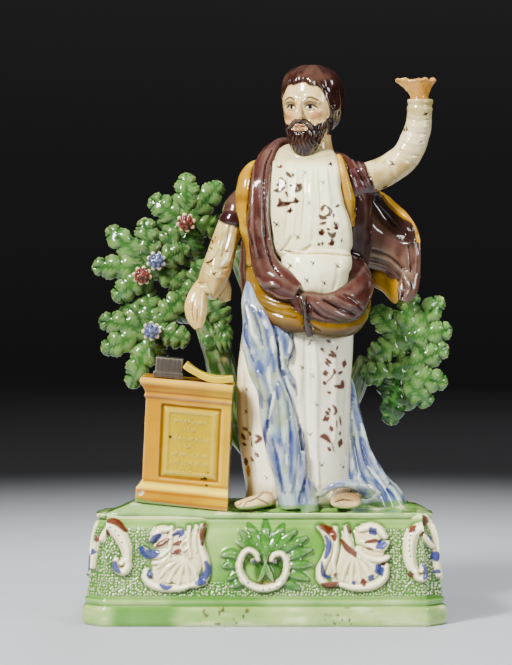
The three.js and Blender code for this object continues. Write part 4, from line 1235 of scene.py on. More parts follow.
ROBE_FOLDS = [
    (9, -1.0, [(304, 333), (305, 365), (305, 400), (307, 440), (310, 488)]),
    (11, 0.8, [(296, 336), (298, 370), (299, 400)]),
    (12, 0.9, [(314, 338), (316, 380), (315, 430), (318, 486)]),
    (9, -0.8, [(347, 380), (346, 420), (347, 455)]), (12, 0.7, [(334, 345), (335, 400), (334, 440)]),
    (8, -0.9, [(243, 372), (245, 410), (247, 440)]), (9, 0.7, [(254, 410), (256, 450), (260, 485)]),
]
MANTLE_FOLDS = [
    (9, -2.6, [(270, 318), (277, 335), (281, 367), (287, 384), (294, 400), (299, 426), (303, 450)]),
    (10, 2.0, [(247, 305), (253, 330), (262, 350)]), (8, 1.6, [(262, 310), (270, 328), (276, 350)]),
    (6, -1.2, [(252, 308), (258, 325), (262, 345)]), (10, 1.8, [(258, 372), (264, 390), (266, 400)]),
    (9, 2.2, [(286, 335), (289, 346), (286, 358)]), (5, -1.4, [(293, 336), (295, 347), (289, 360)]),
    (9, 2.2, [(290, 370), (294, 385), (297, 400), (300, 415)]),
    (8, -1.4, [(271, 395), (268, 412), (267, 432)]),
    (11, 2.0, [(279, 385), (283, 405), (285, 430), (284, 452)]),
    (7, -1.4, [(272, 440), (277, 462), (281, 492)]),
    (9, 1.8, [(292, 420), (295, 445), (294, 470), (290, 492)]),
    (8, 1.5, [(268, 430), (270, 452), (277, 475)]), (8, 1.5, [(303, 452), (303, 470), (300, 490)]),
    (9, 2.2, [(353, 398), (360, 425), (368, 452), (388, 484)]),
    (8, -1.5, [(352, 420), (356, 450), (362, 475), (372, 490)]),
    (7, 1.5, [(349, 440), (352, 460), (356, 480)]), (8, 1.5, [(362, 486), (369, 489), (380, 494)]),
    (6, 1.3, [(306, 480), (308, 492), (310, 503)]),
]
MANTLE_TOUCHES = [
    (9, [(248, 303), (247, 324)]), (8, [(246, 330), (248, 342)]), (8, [(255, 310), (265, 322), (269, 346)]),
    (12, [(262, 312), (282, 328)]), (10, [(285, 330), (286, 354)]),
    (4, [(294, 331), (295.4, 343), (289, 362)]), (10, [(258, 363), (260, 377)]),
    (9, [(290, 367), (294, 382)]), (6, [(258, 391), (261.6, 408)]), (9, [(278.6, 383), (277, 398)]),
    (8, [(268, 418), (264, 435), (269, 454), (279, 474), (282, 492)]), (11, [(290, 434), (291, 462)]),
    (8, [(291, 466), (290.6, 484)]), (9, [(279, 441), (277, 460)]), (9, [(307, 474), (306, 504)]),
    (6, [(351, 382), (352, 400)]), (8, [(355, 404), (359, 430)]), (10, [(361, 440), (364, 468)]),
    (7, [(352, 456), (352, 482)]), (9, [(368, 478), (380, 486), (396, 500)]),
    (10, [(358, 488), (368, 494)]), (8, [(378, 496), (392, 503)]),
    (6, [(323, 492), (331, 487), (344, 484)]), (6, [(370, 450), (376, 466)]), (7, [(272, 350), (274, 372)]),
    (6, [(268, 400), (272, 424)]),
]
DARK_TOUCHES = [
    (4.6, [(277, 334), (279, 345), (282, 365), (288, 378), (296, 401), (301, 428), (305.6, 453),
        (303, 478), (298, 503)]), (3, [(244, 322), (247, 345), (253, 362)]),
    (3, [(267, 420), (263.6, 436), (268, 452)]), (3, [(279, 474), (282, 490)]),
    (3, [(292, 384), (299, 408)]), (2.6, [(254, 306), (262, 318)]), (2.6, [(356, 404), (360, 420)]),
    (3, [(362, 446), (364, 460)]), (3, [(384, 486), (396, 497)]),
]
# White streaks of painted highlight along the ridges of the mantle.
HIGHLIGHT_TOUCHES = [
    (3.4, [(248, 306), (252, 331), (257, 338)]), (3.4, [(263, 321), (267, 328)]),
    (2.8, [(287, 376), (296, 404), (300, 436)]), (4.4, [(273, 336), (273, 352)]),
    (4, [(268, 368), (270, 384)]), (3, [(274, 392), (268, 419)]), (2.6, [(287, 420), (286, 465)]),
    (3, [(359, 424), (366, 444)]), (3, [(368, 466), (386, 488)]), (3, [(298, 456), (296, 486)]),
    (3, [(352, 412), (354, 436)]), (2.4, [(280, 336), (284, 368)]), (3, [(290, 338), (287, 352)]),
]
FOOT_MARKS = [
    (2.2, -0.9, [(246, 502.5), (253, 500), (261, 495), (263.6, 491)]), (3.4, 0.8, [(263.6, 491.4)]),
    (2.0, -0.8, [(269, 505), (262, 501), (257, 498.6)]), (1.6, -0.9, [(241, 503), (238, 506)]),
    (1.6, -0.9, [(246, 503), (243, 508)]), (1.8, -1.0, [(334, 503), (342, 500), (352, 501)]),
    (1.4, -0.8, [(332, 509), (334, 513)]), (1.4, -0.8, [(338, 510), (340, 514)]),
    (1.4, -0.8, [(345, 510), (346, 514)]),
]
ROBE_SPRIGS = [
    (2.6, [(327, 340), (330, 342)]), (2.4, [(320.5, 348), (323.5, 351)]),
    (3.2, [(331, 351), (334.5, 356), (329, 355)]), (2.0, [(337.5, 346), (336.5, 350)]),
    (2.8, [(326, 359), (331, 363.5)]), (2.4, [(325, 362), (329, 366)]), (4.0, [(345, 361), (344, 366.5)]),
    (5.4, [(325.3, 371.5), (325.6, 375)]), (2.6, [(333.5, 369), (334.5, 374)]),
    (3.0, [(338, 374), (342, 372)]), (1.5, [(325.3, 384), (331.5, 377), (334, 371)]),
    (3.0, [(323.5, 381.5), (326, 385)]), (4.4, [(334.5, 386), (342, 386.5), (342.6, 381)]),
    (3.0, [(328, 392), (330.5, 393.5)]), (1.8, [(321.5, 364)]),
    (2.6, [(332.5, 405), (335.5, 411), (333, 415)]), (3.2, [(325.5, 411.5), (329, 415)]),
    (5.4, [(324, 420), (328, 418)]), (2.4, [(328, 408), (330, 411)]), (1.7, [(340, 417), (341, 426)]),
    (1.5, [(335.6, 420), (336.5, 428)]), (3.6, [(330.5, 427), (331.5, 431)]),
    (4.8, [(321, 437), (325, 437), (329.5, 442)]), (2.2, [(340, 432), (340, 435)]),
    (4.2, [(341, 440), (339.5, 446.5)]), (3.0, [(328, 448), (330.5, 451)]),
    (1.0, [(331.6, 443), (334.4, 453)]), (2.4, [(242.5, 428), (246.5, 430)]),
    (3.0, [(241.5, 434), (245, 440)]), (2.4, [(242.5, 443), (246, 446)]),
    (3.6, [(256.5, 435.5), (260, 439), (256, 443)]), (1.2, [(251, 438), (252, 447)]),
    (2.8, [(256, 453), (258.5, 457)]), (3.6, [(245.5, 459), (246.5, 465)]), (2.0, [(251, 458), (254, 462)]),
    (2.0, [(249, 432), (251, 436)]),
]
# Where painted shade darkens the robe beside the altar, at its left edge and above the feet, and the upper
# right foot; a single yellow touch, and a touch of painted shade on the hem; all in the front view.
ALTAR_SHADE_TOP = (372, 380)
ALTAR_SHADE_END = (440, 470)
ALTAR_SHADE_PX = 254
LEFT_SHADE_PX = 250
HEM_SHADE_PX = 300
RIGHT_FOOT_SHADE_PX = (330, 336)
YELLOW_DAB = [(5.0, [(248, 466), (249, 476)])]
HEM_SHADE_TOUCH = [(9, [(280, 492), (282, 504)])]
ROBE_CROSSES = [
    (309, 343.5), (302, 367.5), (312, 376.5), (316, 404.5), (310, 435.5), (321.8, 465.6), (342.9, 467),
    (246, 389.5), (245, 412), (266.5, 478), (239, 349),
]


def robe_and_mantle():
    def robe_folds(angle, share):
        return 1 + 0.016 * (1 - 0.7 * share) * np.cos(5 * angle + 0.6 + 1.2 * share)

    robe = sweep(ROBE_STATIONS, 160, 110, swell=robe_folds)
    mantle = sweep(MANTLE_STATIONS, 64, 110)
    tail = sweep(TAIL_STATIONS, 96, 70, swell=lambda a, s: 1 + 0.05 * np.cos(9 * a + 1) * (0.4 + s))
    hem = sweep(HEM, 32, 40, across=(0, 0, 1))
    gusset = sweep([(24, -30, 84, 4, 5), (26, -32, 76, 5, 5), (27, -32, 66, 6, 6)], 32, 24)
    feet = [sweep(LEFT_FOOT, 40, 30), sweep(RIGHT_FOOT, 40, 30)]
    forms = [robe, mantle, tail, hem, gusset, *feet]
    piece = moulded("robe_and_mantle", forms, 0.9, 4)
    spots, out, view, front = front_of(piece, -0.1, 0.35)
    form, angle, share = traced(spots, forms)
    is_mantle = soft_step(eased(piece, np.isin(form, (1, 2, 3, 4)).astype(float)[:, None], 4)[:, 0], 0.3, 0.7)
    is_foot = form >= 5
    softly = 0.45 * cloudy(spots * np.array([1, 1, 0.45]), 11, 2, 12)
    spots = raised(spots, out, view, ROBE_FOLDS, front * (1 - is_mantle) * ~is_foot)
    spots = raised(spots, out, view, MANTLE_FOLDS, front * is_mantle)
    spots = raised(spots, out, view, FOOT_MARKS, front)
    spots += out * (softly * ~is_foot)[:, None]
    spots = softened(piece, spots, 0.4, 1)
    broad = cloudy(spots, 26, 3, 13)
    behind_altar = soft_step(view[:, 1], *ALTAR_SHADE_TOP) * (1 - soft_step(view[:, 1], *ALTAR_SHADE_END))
    paint = dipped(
        ROBE_CREAM, spots,
        ((230, 216, 168), 0.3 * soft_step(-broad, 0.2, 0.9)),
        ((180, 158, 112), 0.45 * soft_step(ALTAR_SHADE_PX - view[:, 0], 0, 12) * behind_altar),
        ((224, 206, 156), 0.35 * soft_step(LEFT_SHADE_PX - view[:, 0], 0, 12)),
        ((186, 162, 108), 0.6 * soft_step(86 - spots[:, 2], 0, 10) * (view[:, 0] < HEM_SHADE_PX)))
    bare = front * (1 - is_mantle)
    paint = sprigged(paint, view, bare, ROBE_SPRIGS, SPRIG_RUST, 1.7)
    paint = sprigged(paint, view, bare, crosses(ROBE_CROSSES), MARK_BROWN, 1.3)
    paint = sprigged(paint, view, bare, YELLOW_DAB, (206, 150, 10))
    # A touch of painted shade on the hem beside the left foot.
    paint = sprigged(paint, view, front, HEM_SHADE_TOUCH, (120, 98, 60), 1.4)
    flow = np.column_stack([np.cos(angle) * 14, np.sin(angle) * 14, share * 26 + 5 * form])
    streak = cloudy(flow, 3.4, 3, 14)
    blotch = cloudy(spots, 13, 3, 15)
    stain = np.stack([cloudy(spots, 9, 3, 17), cloudy(spots, 9, 3, 18)], axis=1)
    fold = hollows(piece, 10)
    blue = dipped(
        MANTLE_PALE, spots,
        ((160, 168, 134), 0.8 * soft_step(-blotch, 0.0, 0.5)),
        ((118, 140, 178), 0.8 * soft_step(streak + 0.4 * blotch, -0.2, 0.3)),
        ((84, 104, 164), 0.8 * soft_step(streak + 0.6 * blotch, 0.15, 0.7)),
        (MANTLE_BLUE, 0.7 * soft_step(fold, 0.10, 0.5)))
    # Blue touches and dark blue lines in the folds, then streaks of painted highlight.
    for share, color, touches in (
            (0.75, MANTLE_BLUE, MANTLE_TOUCHES), (0.9, DARK_BLUE, DARK_TOUCHES),
            (0.85, HIGHLIGHT_WHITE, HIGHLIGHT_TOUCHES)):
        for width, line in touches:
            near = touch(view + 1.8 * stain, line, width * 1.5, 0.5)
            blue = brushed(blue, (color, share * soft_step(near + 0.25 * streak, 0.05, 0.8) * front))
    paint = paint + (blue - paint) * is_mantle[:, None]
    skin = dipped(
        SKIN, spots,
        ((200, 164, 112), 0.6 * soft_step(broad, 0, 0.8)),
        # Painted shade on the feet where they run in under the robe, and on the upper right foot.
        ((150, 118, 76), 0.7 * soft_step(spots[:, 1], -35, -28)),
        ((142, 108, 66),
         0.7 * soft_step(view[:, 0], *RIGHT_FOOT_SHADE_PX) * soft_step(spots[:, 2] + broad, 71.6, 74)),
        *[((84, 58, 42), 0.85 * soft_step(touch(view, line, width * 1.3, 0.4), 0.05, 0.5))
          for width, _, line in FOOT_MARKS])
    paint = np.where(is_foot[:, None], skin, paint)
    green_foot = soft_step(71.2 + 1.2 * cloudy(spots, 7, 2, 16) - spots[:, 2], 0, 1.6)
    paint = brushed(paint, ((120, 158, 84), 0.85 * green_foot))
    fired(piece, paint, hollows(piece, 7), "pearl_and_blue_glaze",
          thin=0.25, thick=0.5, wave=0.3, mottle=0.06, speck=0.35)
    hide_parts("figure")
    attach(piece, "root")


robe_and_mantle()

# Tunic: the pale blouse, full over the chest, nipped in by a hidden belt and full again over the belly. It is
# part of the pressed body, left in clear pearl glaze with sprigs and crosses brushed on.
CHEST_STATIONS = [
    (28.2, -22, 218, 20.6, 9), (28.2, -22.4, 222.5, 23.4, 11.6), (28, -22.6, 231, 24, 12.4),
    (25.6, -22, 244, 22.6, 12), (24.4, -20, 257, 21.4, 11), (25, -16.6, 267, 20.6, 9.5),
    (24.6, -12, 274.5, 19.6, 8), (24.6, -7, 280, 16.6, 6.4), (25, -5, 282.6, 11, 5),
]
BELLY_STATIONS = [
    (34, -28, 192.8, 7, 5), (34, -28, 198, 15, 9), (32, -27.6, 206, 19.6, 12), (31, -26, 214, 21.2, 12),
    (30.8, -24.4, 221.5, 20, 9.6),
]
TUNIC_FOLDS = [
    (9, 0.7, [(296, 170), (295, 200), (292, 236)]), (9, 0.7, [(311, 172), (311, 205), (309, 240)]),
    (9, 0.7, [(326, 170), (328, 200), (331, 236)]), (6, -0.5, [(303, 174), (303, 204), (300, 240)]),
    (6, -0.5, [(318.5, 170), (319.5, 205), (320, 240)]), (5, -0.6, [(287, 178), (287, 205), (284, 236)]),
    (7, 0.9, [(274, 162), (273, 190), (274, 225), (277, 242)]),
    (7, -1.1, [(291, 236), (287, 244), (282, 250)]), (7, -1.0, [(311, 245), (304, 250), (298, 253)]),
    (2.6, 0.9, [(286, 150), (295, 155.5), (305, 159), (318, 157.4), (335, 152.5)]),
    (3.6, -2.0, [(280, 251), (298, 253), (318, 252.5), (338, 254), (350, 256)]),
    (8, -0.5, [(297, 264), (300, 276), (306, 288)]), (8, -0.5, [(337, 264), (337, 278), (333, 290)]),
    (10, 0.5, [(316, 264), (319, 278), (321, 290)]),
]
# The painted sprigs, as read in a view of the chest enlarged this much, with its left and top edge.
CHEST_ENLARGED, CHEST_LEFT, CHEST_TOP = 9.5, 265, 145
TUNIC_SPRIGS = [
    (30, [(205, 262), (222, 285), (246, 306)]), (22, [(262, 272), (266, 302)]),
    (46, [(148, 322), (160, 350), (188, 362)]), (42, [(120, 380), (150, 378), (190, 366)]),
    (36, [(98, 436), (130, 432), (166, 418)]), (16, [(160, 424), (196, 398)]),
    (24, [(232, 384), (250, 388)]), (46, [(334, 378), (322, 410), (284, 446)]),
    (24, [(298, 372), (316, 402)]), (26, [(196, 446), (206, 462)]), (18, [(200, 476), (216, 490)]),
    (32, [(134, 514), (144, 552), (128, 580)]), (40, [(120, 578), (170, 562), (226, 560)]),
    (24, [(186, 556), (272, 544)]), (30, [(284, 508), (302, 546)]), (32, [(266, 546), (318, 534)]),
    (32, [(212, 630), (256, 624)]), (28, [(242, 600), (234, 648)]), (26, [(546, 580), (538, 628)]),
    (18, [(546, 578), (582, 580)]), (28, [(590, 590), (620, 626), (606, 664), (570, 676)]),
    (34, [(514, 668), (540, 690), (578, 696)]), (28, [(522, 752), (576, 736)]),
    (20, [(652, 648), (646, 688)]), (20, [(656, 734), (666, 768)]), (30, [(686, 742), (680, 798)]),
    (24, [(650, 788), (692, 798)]), (44, [(540, 808), (540, 852)]), (34, [(512, 824), (540, 852)]),
    (24, [(588, 794), (610, 812)]), (14, [(618, 768), (628, 776)]),
    (36, [(602, 838), (640, 864), (666, 834)]), (24, [(504, 934), (516, 956)]),
    (24, [(546, 924), (540, 952)]), (38, [(634, 898), (640, 948)]), (34, [(604, 940), (648, 942)]),
    (18, [(668, 590), (706, 574)]), (16, [(686, 560), (680, 592)]), (14, [(730, 888), (724, 926)]),
    (14, [(112, 206), (150, 218)]), (20, [(148, 192), (154, 216)]), (14, [(600, 186), (632, 180)]),
    (18, [(620, 168), (630, 198)]),
]
TUNIC_CROSSES = [(276.7, 224.5), (297, 237), (290, 266), (313, 263.5), (337, 266), (306.5, 281), (324, 283)]
BELLY_LEFT_PX = (282, 291)
BELLY_RIGHT_PX = (343, 352)
PALE_CROSSES = [(304.7, 172.7), (322.6, 182.5), (308.5, 203.5)]


def squared(angle, power=2.6):
    """Makes a round section a little square."""
    return (np.abs(np.cos(angle)) ** power + np.abs(np.sin(angle)) ** power) ** (-1 / power)


def tunic_piece():
    chest = sweep(CHEST_STATIONS, 120, 90,
                  swell=lambda a, s: squared(a) * (1 + 0.012 * np.cos(14 * a + 3 * s)))
    belly = sweep(BELLY_STATIONS, 110, 50, swell=lambda a, s: squared(a, 2.3))
    piece = moulded("tunic", [chest, belly], 0.6, 3)
    spots, out, view, front = front_of(piece, 0.0, 0.4)
    spots = raised(spots, out, view, TUNIC_FOLDS, front)
    spots += out * (0.35 * cloudy(spots, 8, 2, 31))[:, None]
    spots = softened(piece, spots, 0.4, 2)
    broad = cloudy(spots, 15, 3, 32)
    fold = hollows(piece, 12)
    shaded = soft_step(spots[:, 2], 270, 278)
    belly_shade = 1 - soft_step(view[:, 0], *BELLY_LEFT_PX) * (1 - soft_step(view[:, 0], *BELLY_RIGHT_PX))
    paint = dipped(
        (255, 252, 216), spots,
        ((234, 226, 188), 0.55 * soft_step(-broad, 0.1, 0.7)),
        ((206, 188, 132), 0.75 * soft_step(fold, 0.06, 0.4)),
        ((196, 178, 132), 0.7 * shaded),
        ((216, 206, 168), 0.5 * belly_shade))
    corner = np.array([CHEST_LEFT, CHEST_TOP])
    sprigs = [(width / CHEST_ENLARGED, corner + np.array(line) / CHEST_ENLARGED)
              for width, line in TUNIC_SPRIGS]
    paint = sprigged(paint, view, front, sprigs, (84, 26, 20), 1.75)
    paint = sprigged(paint, view, front, crosses(TUNIC_CROSSES, 2.6, 1.5), MARK_BROWN, 1.3)
    paint = sprigged(paint, view, front, crosses(PALE_CROSSES, 2.4, 1.3), (140, 148, 150), 1.2)
    fired(piece, paint, hollows(piece, 6), "pearl_glaze_tunic",
          thin=0.1, thick=0.3, wave=0.25, mottle=0.05, speck=0.3, gloss=0.6)
    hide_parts("figure")
    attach(piece, "root")


tunic_piece()

# Cloak: drawn over one shoulder in a thick roll, round the belly and up under the raised arm, its yellow
# lining turned out beside and below the roll. Pressed with the body; manganese purple glaze outside.
ROLL_STATIONS = [
    (36, 13, 275, 5, 5), (24, 10, 281, 6.4, 6), (11, 3, 282, 7.4, 6.6), (3.4, -8, 276, 7.2, 6.8),
    (-1, -17, 266, 6.8, 6.6), (-3, -23, 251, 6.6, 6.8), (-3.2, -26, 237, 6.6, 7),
    (-1.8, -28, 222, 7.4, 7.4), (3, -30, 209, 9.0, 8.6), (11, -33, 201.4, 9.6, 9),
    (20, -34.6, 196.5, 7, 7.4),
]
FRONT_ROLL_STATIONS = [
    (17, -33, 194.6, 4, 5), (25, -35.5, 190, 7.8, 8), (37, -35, 187, 9.8, 10),
    (47.5, -30, 189.6, 11.8, 11.5), (53, -20, 196.5, 11.8, 11), (53.6, -12, 205, 10.6, 11),
    (49, -8, 212, 9, 10), (46, -6, 217, 7, 9),
]
TIE_STATIONS = [
    (21.4, -42, 195.5, 1.6, 2.2), (22.8, -44, 190, 2.0, 2.2), (24.2, -42.2, 182, 1.7, 1.8),
    (25.8, -40.4, 175, 2.2, 1.8), (26.6, -38.8, 170.5, 2.0, 1.4),
]
LINING_BELOW = [
    (-5, -5, 216, 3.4, 6), (-3.6, -15, 204, 6, 7.6), (2, -24.6, 191.6, 8.2, 8.2),
    (11.4, -31, 183, 9.2, 8.4), (24, -33, 179.6, 8.2, 8.4), (40, -32.4, 176.8, 8.0, 8.6),
    (50, -26, 179.8, 8.4, 9), (55.4, -14, 188.5, 8.4, 8.4), (55, -3, 197, 7, 8),
]
LINING_BESIDE = [
    (-8, -9, 214, 3.2, 8), (-8.4, -11.4, 226, 4.4, 9), (-10.4, -13, 237, 6.2, 9.6),
    (-11, -13.6, 247, 6.5, 9.6), (-10.4, -13, 258, 6.6, 9.4), (-8.4, -10, 266, 6, 8.4),
    (-4.4, -6, 271.4, 4.2, 6.5),
]
LINING_FACING = [
    (51.4, -13, 236.5, 1.8, 6), (51.4, -14, 242, 2.9, 7.4), (50.3, -14.8, 249, 4.5, 8.4),
    (48.5, -14.6, 261, 4.2, 8), (46.1, -13, 270.5, 3.4, 6.8), (44, -9.5, 277.6, 2.2, 5),
]
BACK_STATIONS = [
    (22, 14, 188, 34, 9), (22, 16, 212, 36, 9), (23, 16, 242, 34, 9), (24, 12, 264, 29, 9),
    (27, 8, 276.5, 17, 7.5),
]
SHOULDER_STATIONS = [
    (40, 2, 275.5, 6, 9), (46.6, -1, 269.5, 9.4, 12), (51.4, -3, 261, 11.6, 13), (54, -3, 248, 11, 12),
    (54.4, -1, 234, 11, 11), (54, 1, 220, 10.4, 10), (52, 2, 208, 9, 9),
]
CLOAK_PURPLE = (104, 68, 62)
LINING_YELLOW = (186, 150, 0)
# Each is a width and height, and a line in the front view: creases go in, bulges stand out.
CLOAK_FOLDS = [
    (4.4, -1.3, [(272, 150), (265, 168), (263.6, 200), (264.6, 228), (267, 248), (272, 264), (281, 277)]),
    (6, 0.8, [(254.5, 166), (252.6, 185), (252, 210), (253, 235), (257, 256)]),
    (5, 0.6, [(268.6, 176), (268, 205), (269, 232), (272, 250)]),
    (10, 1.2, [(258, 278), (266, 284), (278, 286)]), (5, 1.2, [(268, 290), (280, 297), (292, 298)]),
    (6, -1.7, [(322, 299), (332, 304), (343, 310), (355, 315)]),
    (7, 0.9, [(318, 303), (328, 309), (340, 315), (352, 318)]),
    (6, -1.2, [(309, 304), (316, 312), (325, 318), (336, 321)]),
    (8, 0.9, [(330, 297), (342, 302), (356, 309)]), (7, -0.8, [(344, 294), (354, 301), (362, 309)]),
    (3.2, -1.2, [(300, 300), (302, 312), (302, 324)]),
    (6, -0.9, [(259, 305), (272, 312), (286, 316), (297, 318)]),
    (7, 1.0, [(262, 300), (278, 306), (294, 308)]), (3, -1.6, [(307, 318), (312, 326), (320, 331)]),
    (4, -0.8, [(347, 168), (353, 186), (357, 202), (353, 218)]),
    (5, 0.9, [(352, 160), (360, 176), (366, 192)]), (5, -0.9, [(346, 166), (356, 182), (362, 200)]),
]


def cloak_piece():
    def puckered(angle, share):
        return 1 + 0.03 * np.cos(5 * angle + 6 * share) + 0.02 * np.cos(9 * angle - 4 * share)

    roll = sweep(ROLL_STATIONS, 72, 180, across=(0, 0, 1), swell=puckered)
    front_roll = sweep(FRONT_ROLL_STATIONS, 80, 120, across=(0, 0, 1), swell=puckered)
    shoulder = sweep(SHOULDER_STATIONS, 60, 90, swell=puckered)
    back = sweep(BACK_STATIONS, 140, 90, swell=lambda a, s: 1 + 0.05 * np.cos(16 * a + 2 * s) * (1 - 0.6 * s))
    tie = sweep(TIE_STATIONS, 32, 40)
    below = sweep(LINING_BELOW, 60, 120, across=(0, 0, 1))
    beside = sweep(LINING_BESIDE, 56, 90)
    facing = sweep(LINING_FACING, 48, 80)
    forms = [roll, front_roll, shoulder, back, tie, below, beside, facing]
    piece = moulded("cloak", forms, 0.9, 2)
    spots, out, view, front = front_of(piece, -0.1, 0.35)
    form = traced(spots, forms)[0]
    spots = raised(spots, out, view, CLOAK_FOLDS, front)
    spots += out * (0.5 * cloudy(spots, 10, 2, 41))[:, None]
    spots = softened(piece, spots, 0.4, 1)
    fold = hollows(piece, 10)
    broad = cloudy(spots, 8, 4, 42)
    purple = dipped(
        CLOAK_PURPLE, spots,
        ((112, 82, 74), 0.6 * soft_step(broad, 0.05, 0.6)),
        ((62, 30, 32), 0.7 * soft_step(-broad, 0.1, 0.7)),
        ((40, 24, 26), 0.75 * soft_step(fold, 0.08, 0.5)),
        ((136, 104, 96), 0.15 * soft_step(-fold, 0.15, 0.5)),
        # Painted shade on the shoulder below the raised arm.
        ((80, 52, 46), 0.75 * (form == 2) * soft_step(262 - spots[:, 2], 0, 14)),
        ((64, 42, 36), 0.9 * (form == 4)))
    # Where the lining below the roll faces down: painted shade.
    low = (form == 5) * soft_step(-out[:, 2] + 0.25 * broad, -0.1, 0.7)
    yellow = dipped(
        LINING_YELLOW, spots,
        ((210, 184, 0), 0.7 * soft_step(broad, 0.0, 0.6)),
        ((152, 112, 0), 0.8 * soft_step(-broad, 0.1, 0.7)),
        ((104, 66, 8), 0.8 * soft_step(fold, 0.1, 0.6)),
        # Painted shade: the lining below the roll darker, and darker still where it faces down.
        ((132, 104, 0), 0.8 * (form == 5)),
        ((92, 66, 0), 0.8 * low))
    paint = np.where((form >= 5)[:, None], yellow, purple)
    fired(piece, paint, hollows(piece, 6), "cloak_glaze",
          thin=0.14, thick=0.6, wave=0.45, mottle=0.12, speck=0.4, gloss=0.6)
    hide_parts("figure")
    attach(piece, "root")


cloak_piece()

# Head: turned a little to one side, with a smooth cap of hair and a full beard, on a thick neck. Pressed in a
# mould of its own; the hair and beard are brown under the glaze, the face is left pale and lightly painted.
HEAD_PLACE = (27.4, -7, 306)
HEAD_TURN = -0.42
HAIR_BROWN = (80, 54, 50)
FACE_SKIN = (226, 200, 152)
SKULL_STATIONS = [
    (0, -2, -20, 8, 7), (0, -1.6, -13, 13, 12.2), (0, -0.6, -4, 15.4, 15.2), (0, 0, 4, 16.4, 16.2),
    (0, 0.6, 11, 16, 15.8), (0, 1.2, 17, 12.8, 13.6), (0, 2, 23, 7, 8),
]
HAIR_STATIONS = [
    (0, 7, -13.4, 8, 5), (0, 7.4, -10, 14, 9), (0, 6, -3, 18.2, 13.4), (0, 4.6, 7, 19.4, 16.4),
    (0, 3, 15, 18.6, 17), (0, 2.4, 20.6, 15.8, 15.6), (0, 2.4, 24.4, 11.4, 11.4), (0, 2.4, 26.6, 5.6, 5.8),
]
BEARD_STATIONS = [
    (0, -9.6, -31.8, 1.6, 1.6), (0, -9.6, -28, 4.8, 4.4), (0, -9, -22, 8.4, 7.6),
    (0, -7.4, -15.5, 11.2, 9.6), (0, -4.6, -8, 13.6, 10.4), (0, -1, 0, 14.8, 9.4),
]
NOSE_STATIONS = [
    (0, -14.6, 5.6, 1.5, 1.8), (0, -16.6, 1.5, 1.7, 2.2), (0, -18.2, -2.6, 2.2, 2.4),
    (0, -17.8, -5.2, 2.5, 2.2), (0, -16.4, -6.4, 1.6, 1.4),
]
NECK_STATIONS = [
    (31, -3, 269, 16, 11.5), (31, -3.4, 276.5, 13.6, 11.6), (31, -3.4, 283, 10.2, 10),
    (30, -3, 296, 9.6, 9.6),
]


def to_head(spots):
    """Places in the head's own frame: x across the face, y from front to back, z up from the eyes."""
    x, y = spots[:, 0] - HEAD_PLACE[0], spots[:, 1] - HEAD_PLACE[1]
    across = x * math.cos(HEAD_TURN) + y * math.sin(HEAD_TURN)
    depth = y * math.cos(HEAD_TURN) - x * math.sin(HEAD_TURN)
    return np.stack([across, depth, spots[:, 2] - HEAD_PLACE[2]], axis=1)


def from_head(rings):
    across, depth = rings[..., 0], rings[..., 1]
    x = across * math.cos(HEAD_TURN) - depth * math.sin(HEAD_TURN) + HEAD_PLACE[0]
    y = across * math.sin(HEAD_TURN) + depth * math.cos(HEAD_TURN) + HEAD_PLACE[1]
    return np.stack([x, y, rings[..., 2] + HEAD_PLACE[2]], axis=-1)


def both_sides(lines):
    """The lines of one half of the face, followed by the same lines on its other half."""
    return lines + [(width, height, [(-x, z) for x, z in line]) for width, height, line in lines]


# Each is a width and height, and a line over the face in its own frame, across and up.
FACE_FORMS = both_sides([
    (8.0, 1.1, [(2.2, 4.6), (6, 5.6), (10, 3.6)]), (7.4, -2.0, [(4.4, 1.2), (8.2, 1.0)]),
    (4.6, 1.5, [(4.6, 0.9), (7.8, 0.8)]), (1.6, 0.5, [(3.2, 1.0), (5.0, 2.8), (8.0, 2.6), (9.8, 0.8)]),
    (1.4, 0.35, [(3.6, 0.0), (6.2, -1.1), (9.2, 0.0)]), (9.0, 0.9, [(7.4, -4.0), (10, -2.4)]),
    (3.2, -0.6, [(3.0, -4.6), (5.0, -8.0)]), (2.6, 0.8, [(2.2, -4.8)]),
    (3.4, 1.5, [(0.8, -7.4), (4.2, -8.4), (7.0, -11.5)]), (1.5, -0.5, [(2.0, -7.2), (4.6, -8.8), (6.6, -12)]),
]) + [
    (2.2, 1.0, [(-2.8, -10), (0, -9.6), (2.8, -10)]), (1.0, -1.1, [(-3.2, -10.9), (0, -10.7), (3.2, -10.9)]),
    (2.6, 1.2, [(-2.2, -12), (0, -12.3), (2.2, -12)]), (2.6, -0.8, [(-2.4, -13.9), (0, -14.1), (2.4, -13.9)]),
]
EYE_LINES = both_sides([(1.2, 0, [(3.2, 0.6), (5.0, 2.2), (8.0, 2.2), (10.2, 0.5)])])
BROW_LINES = both_sides([(1.9, 0, [(2.4, 5.2), (6.2, 6.7), (10.6, 4.8)])])
LID_LINES = both_sides([
    (0.9, 0, [(3.8, 3.2), (6.2, 4.1), (9.2, 3.1)]), (0.8, 0, [(3.8, -0.3), (6.4, -1.0), (9.4, -0.1)])])
# Brush strokes of the face: their lines, colour, strength, taper and how soft their edges are.
FACE_STROKES = [
    (LID_LINES, (96, 62, 38), 0.8, 0.3, 0.4), (BROW_LINES, (88, 66, 34), 0.9, 0.5, 0.4),
    (EYE_LINES, (44, 24, 18), 1.0, 0.3, 0.35),
]
# Degrees from straight ahead, and how low the hair and how high and low the beard reach there.
HAIRLINE = ([0, 12, 26, 40, 52, 62, 70, 78], [14.4, 15.0, 14.2, 12.2, 9.0, 4.6, -4, -30])
BEARD_TOP = ([0, 14, 22, 30, 45, 60, 72, 84], [-13.2, -12.6, -10.8, -9.2, -8.2, -7, -3, 3])
NECK_LOW = ([0, 40, 52, 62, 72, 82], [-60, -32, -24, -18, -12, -8])
MOUSTACHE = [[(0, -7.4), (4.2, -8.3), (7.4, -12.5)], [(0, -7.4), (-4.2, -8.3), (-7.4, -12.5)]]
EYE_ASIDE = 6.3


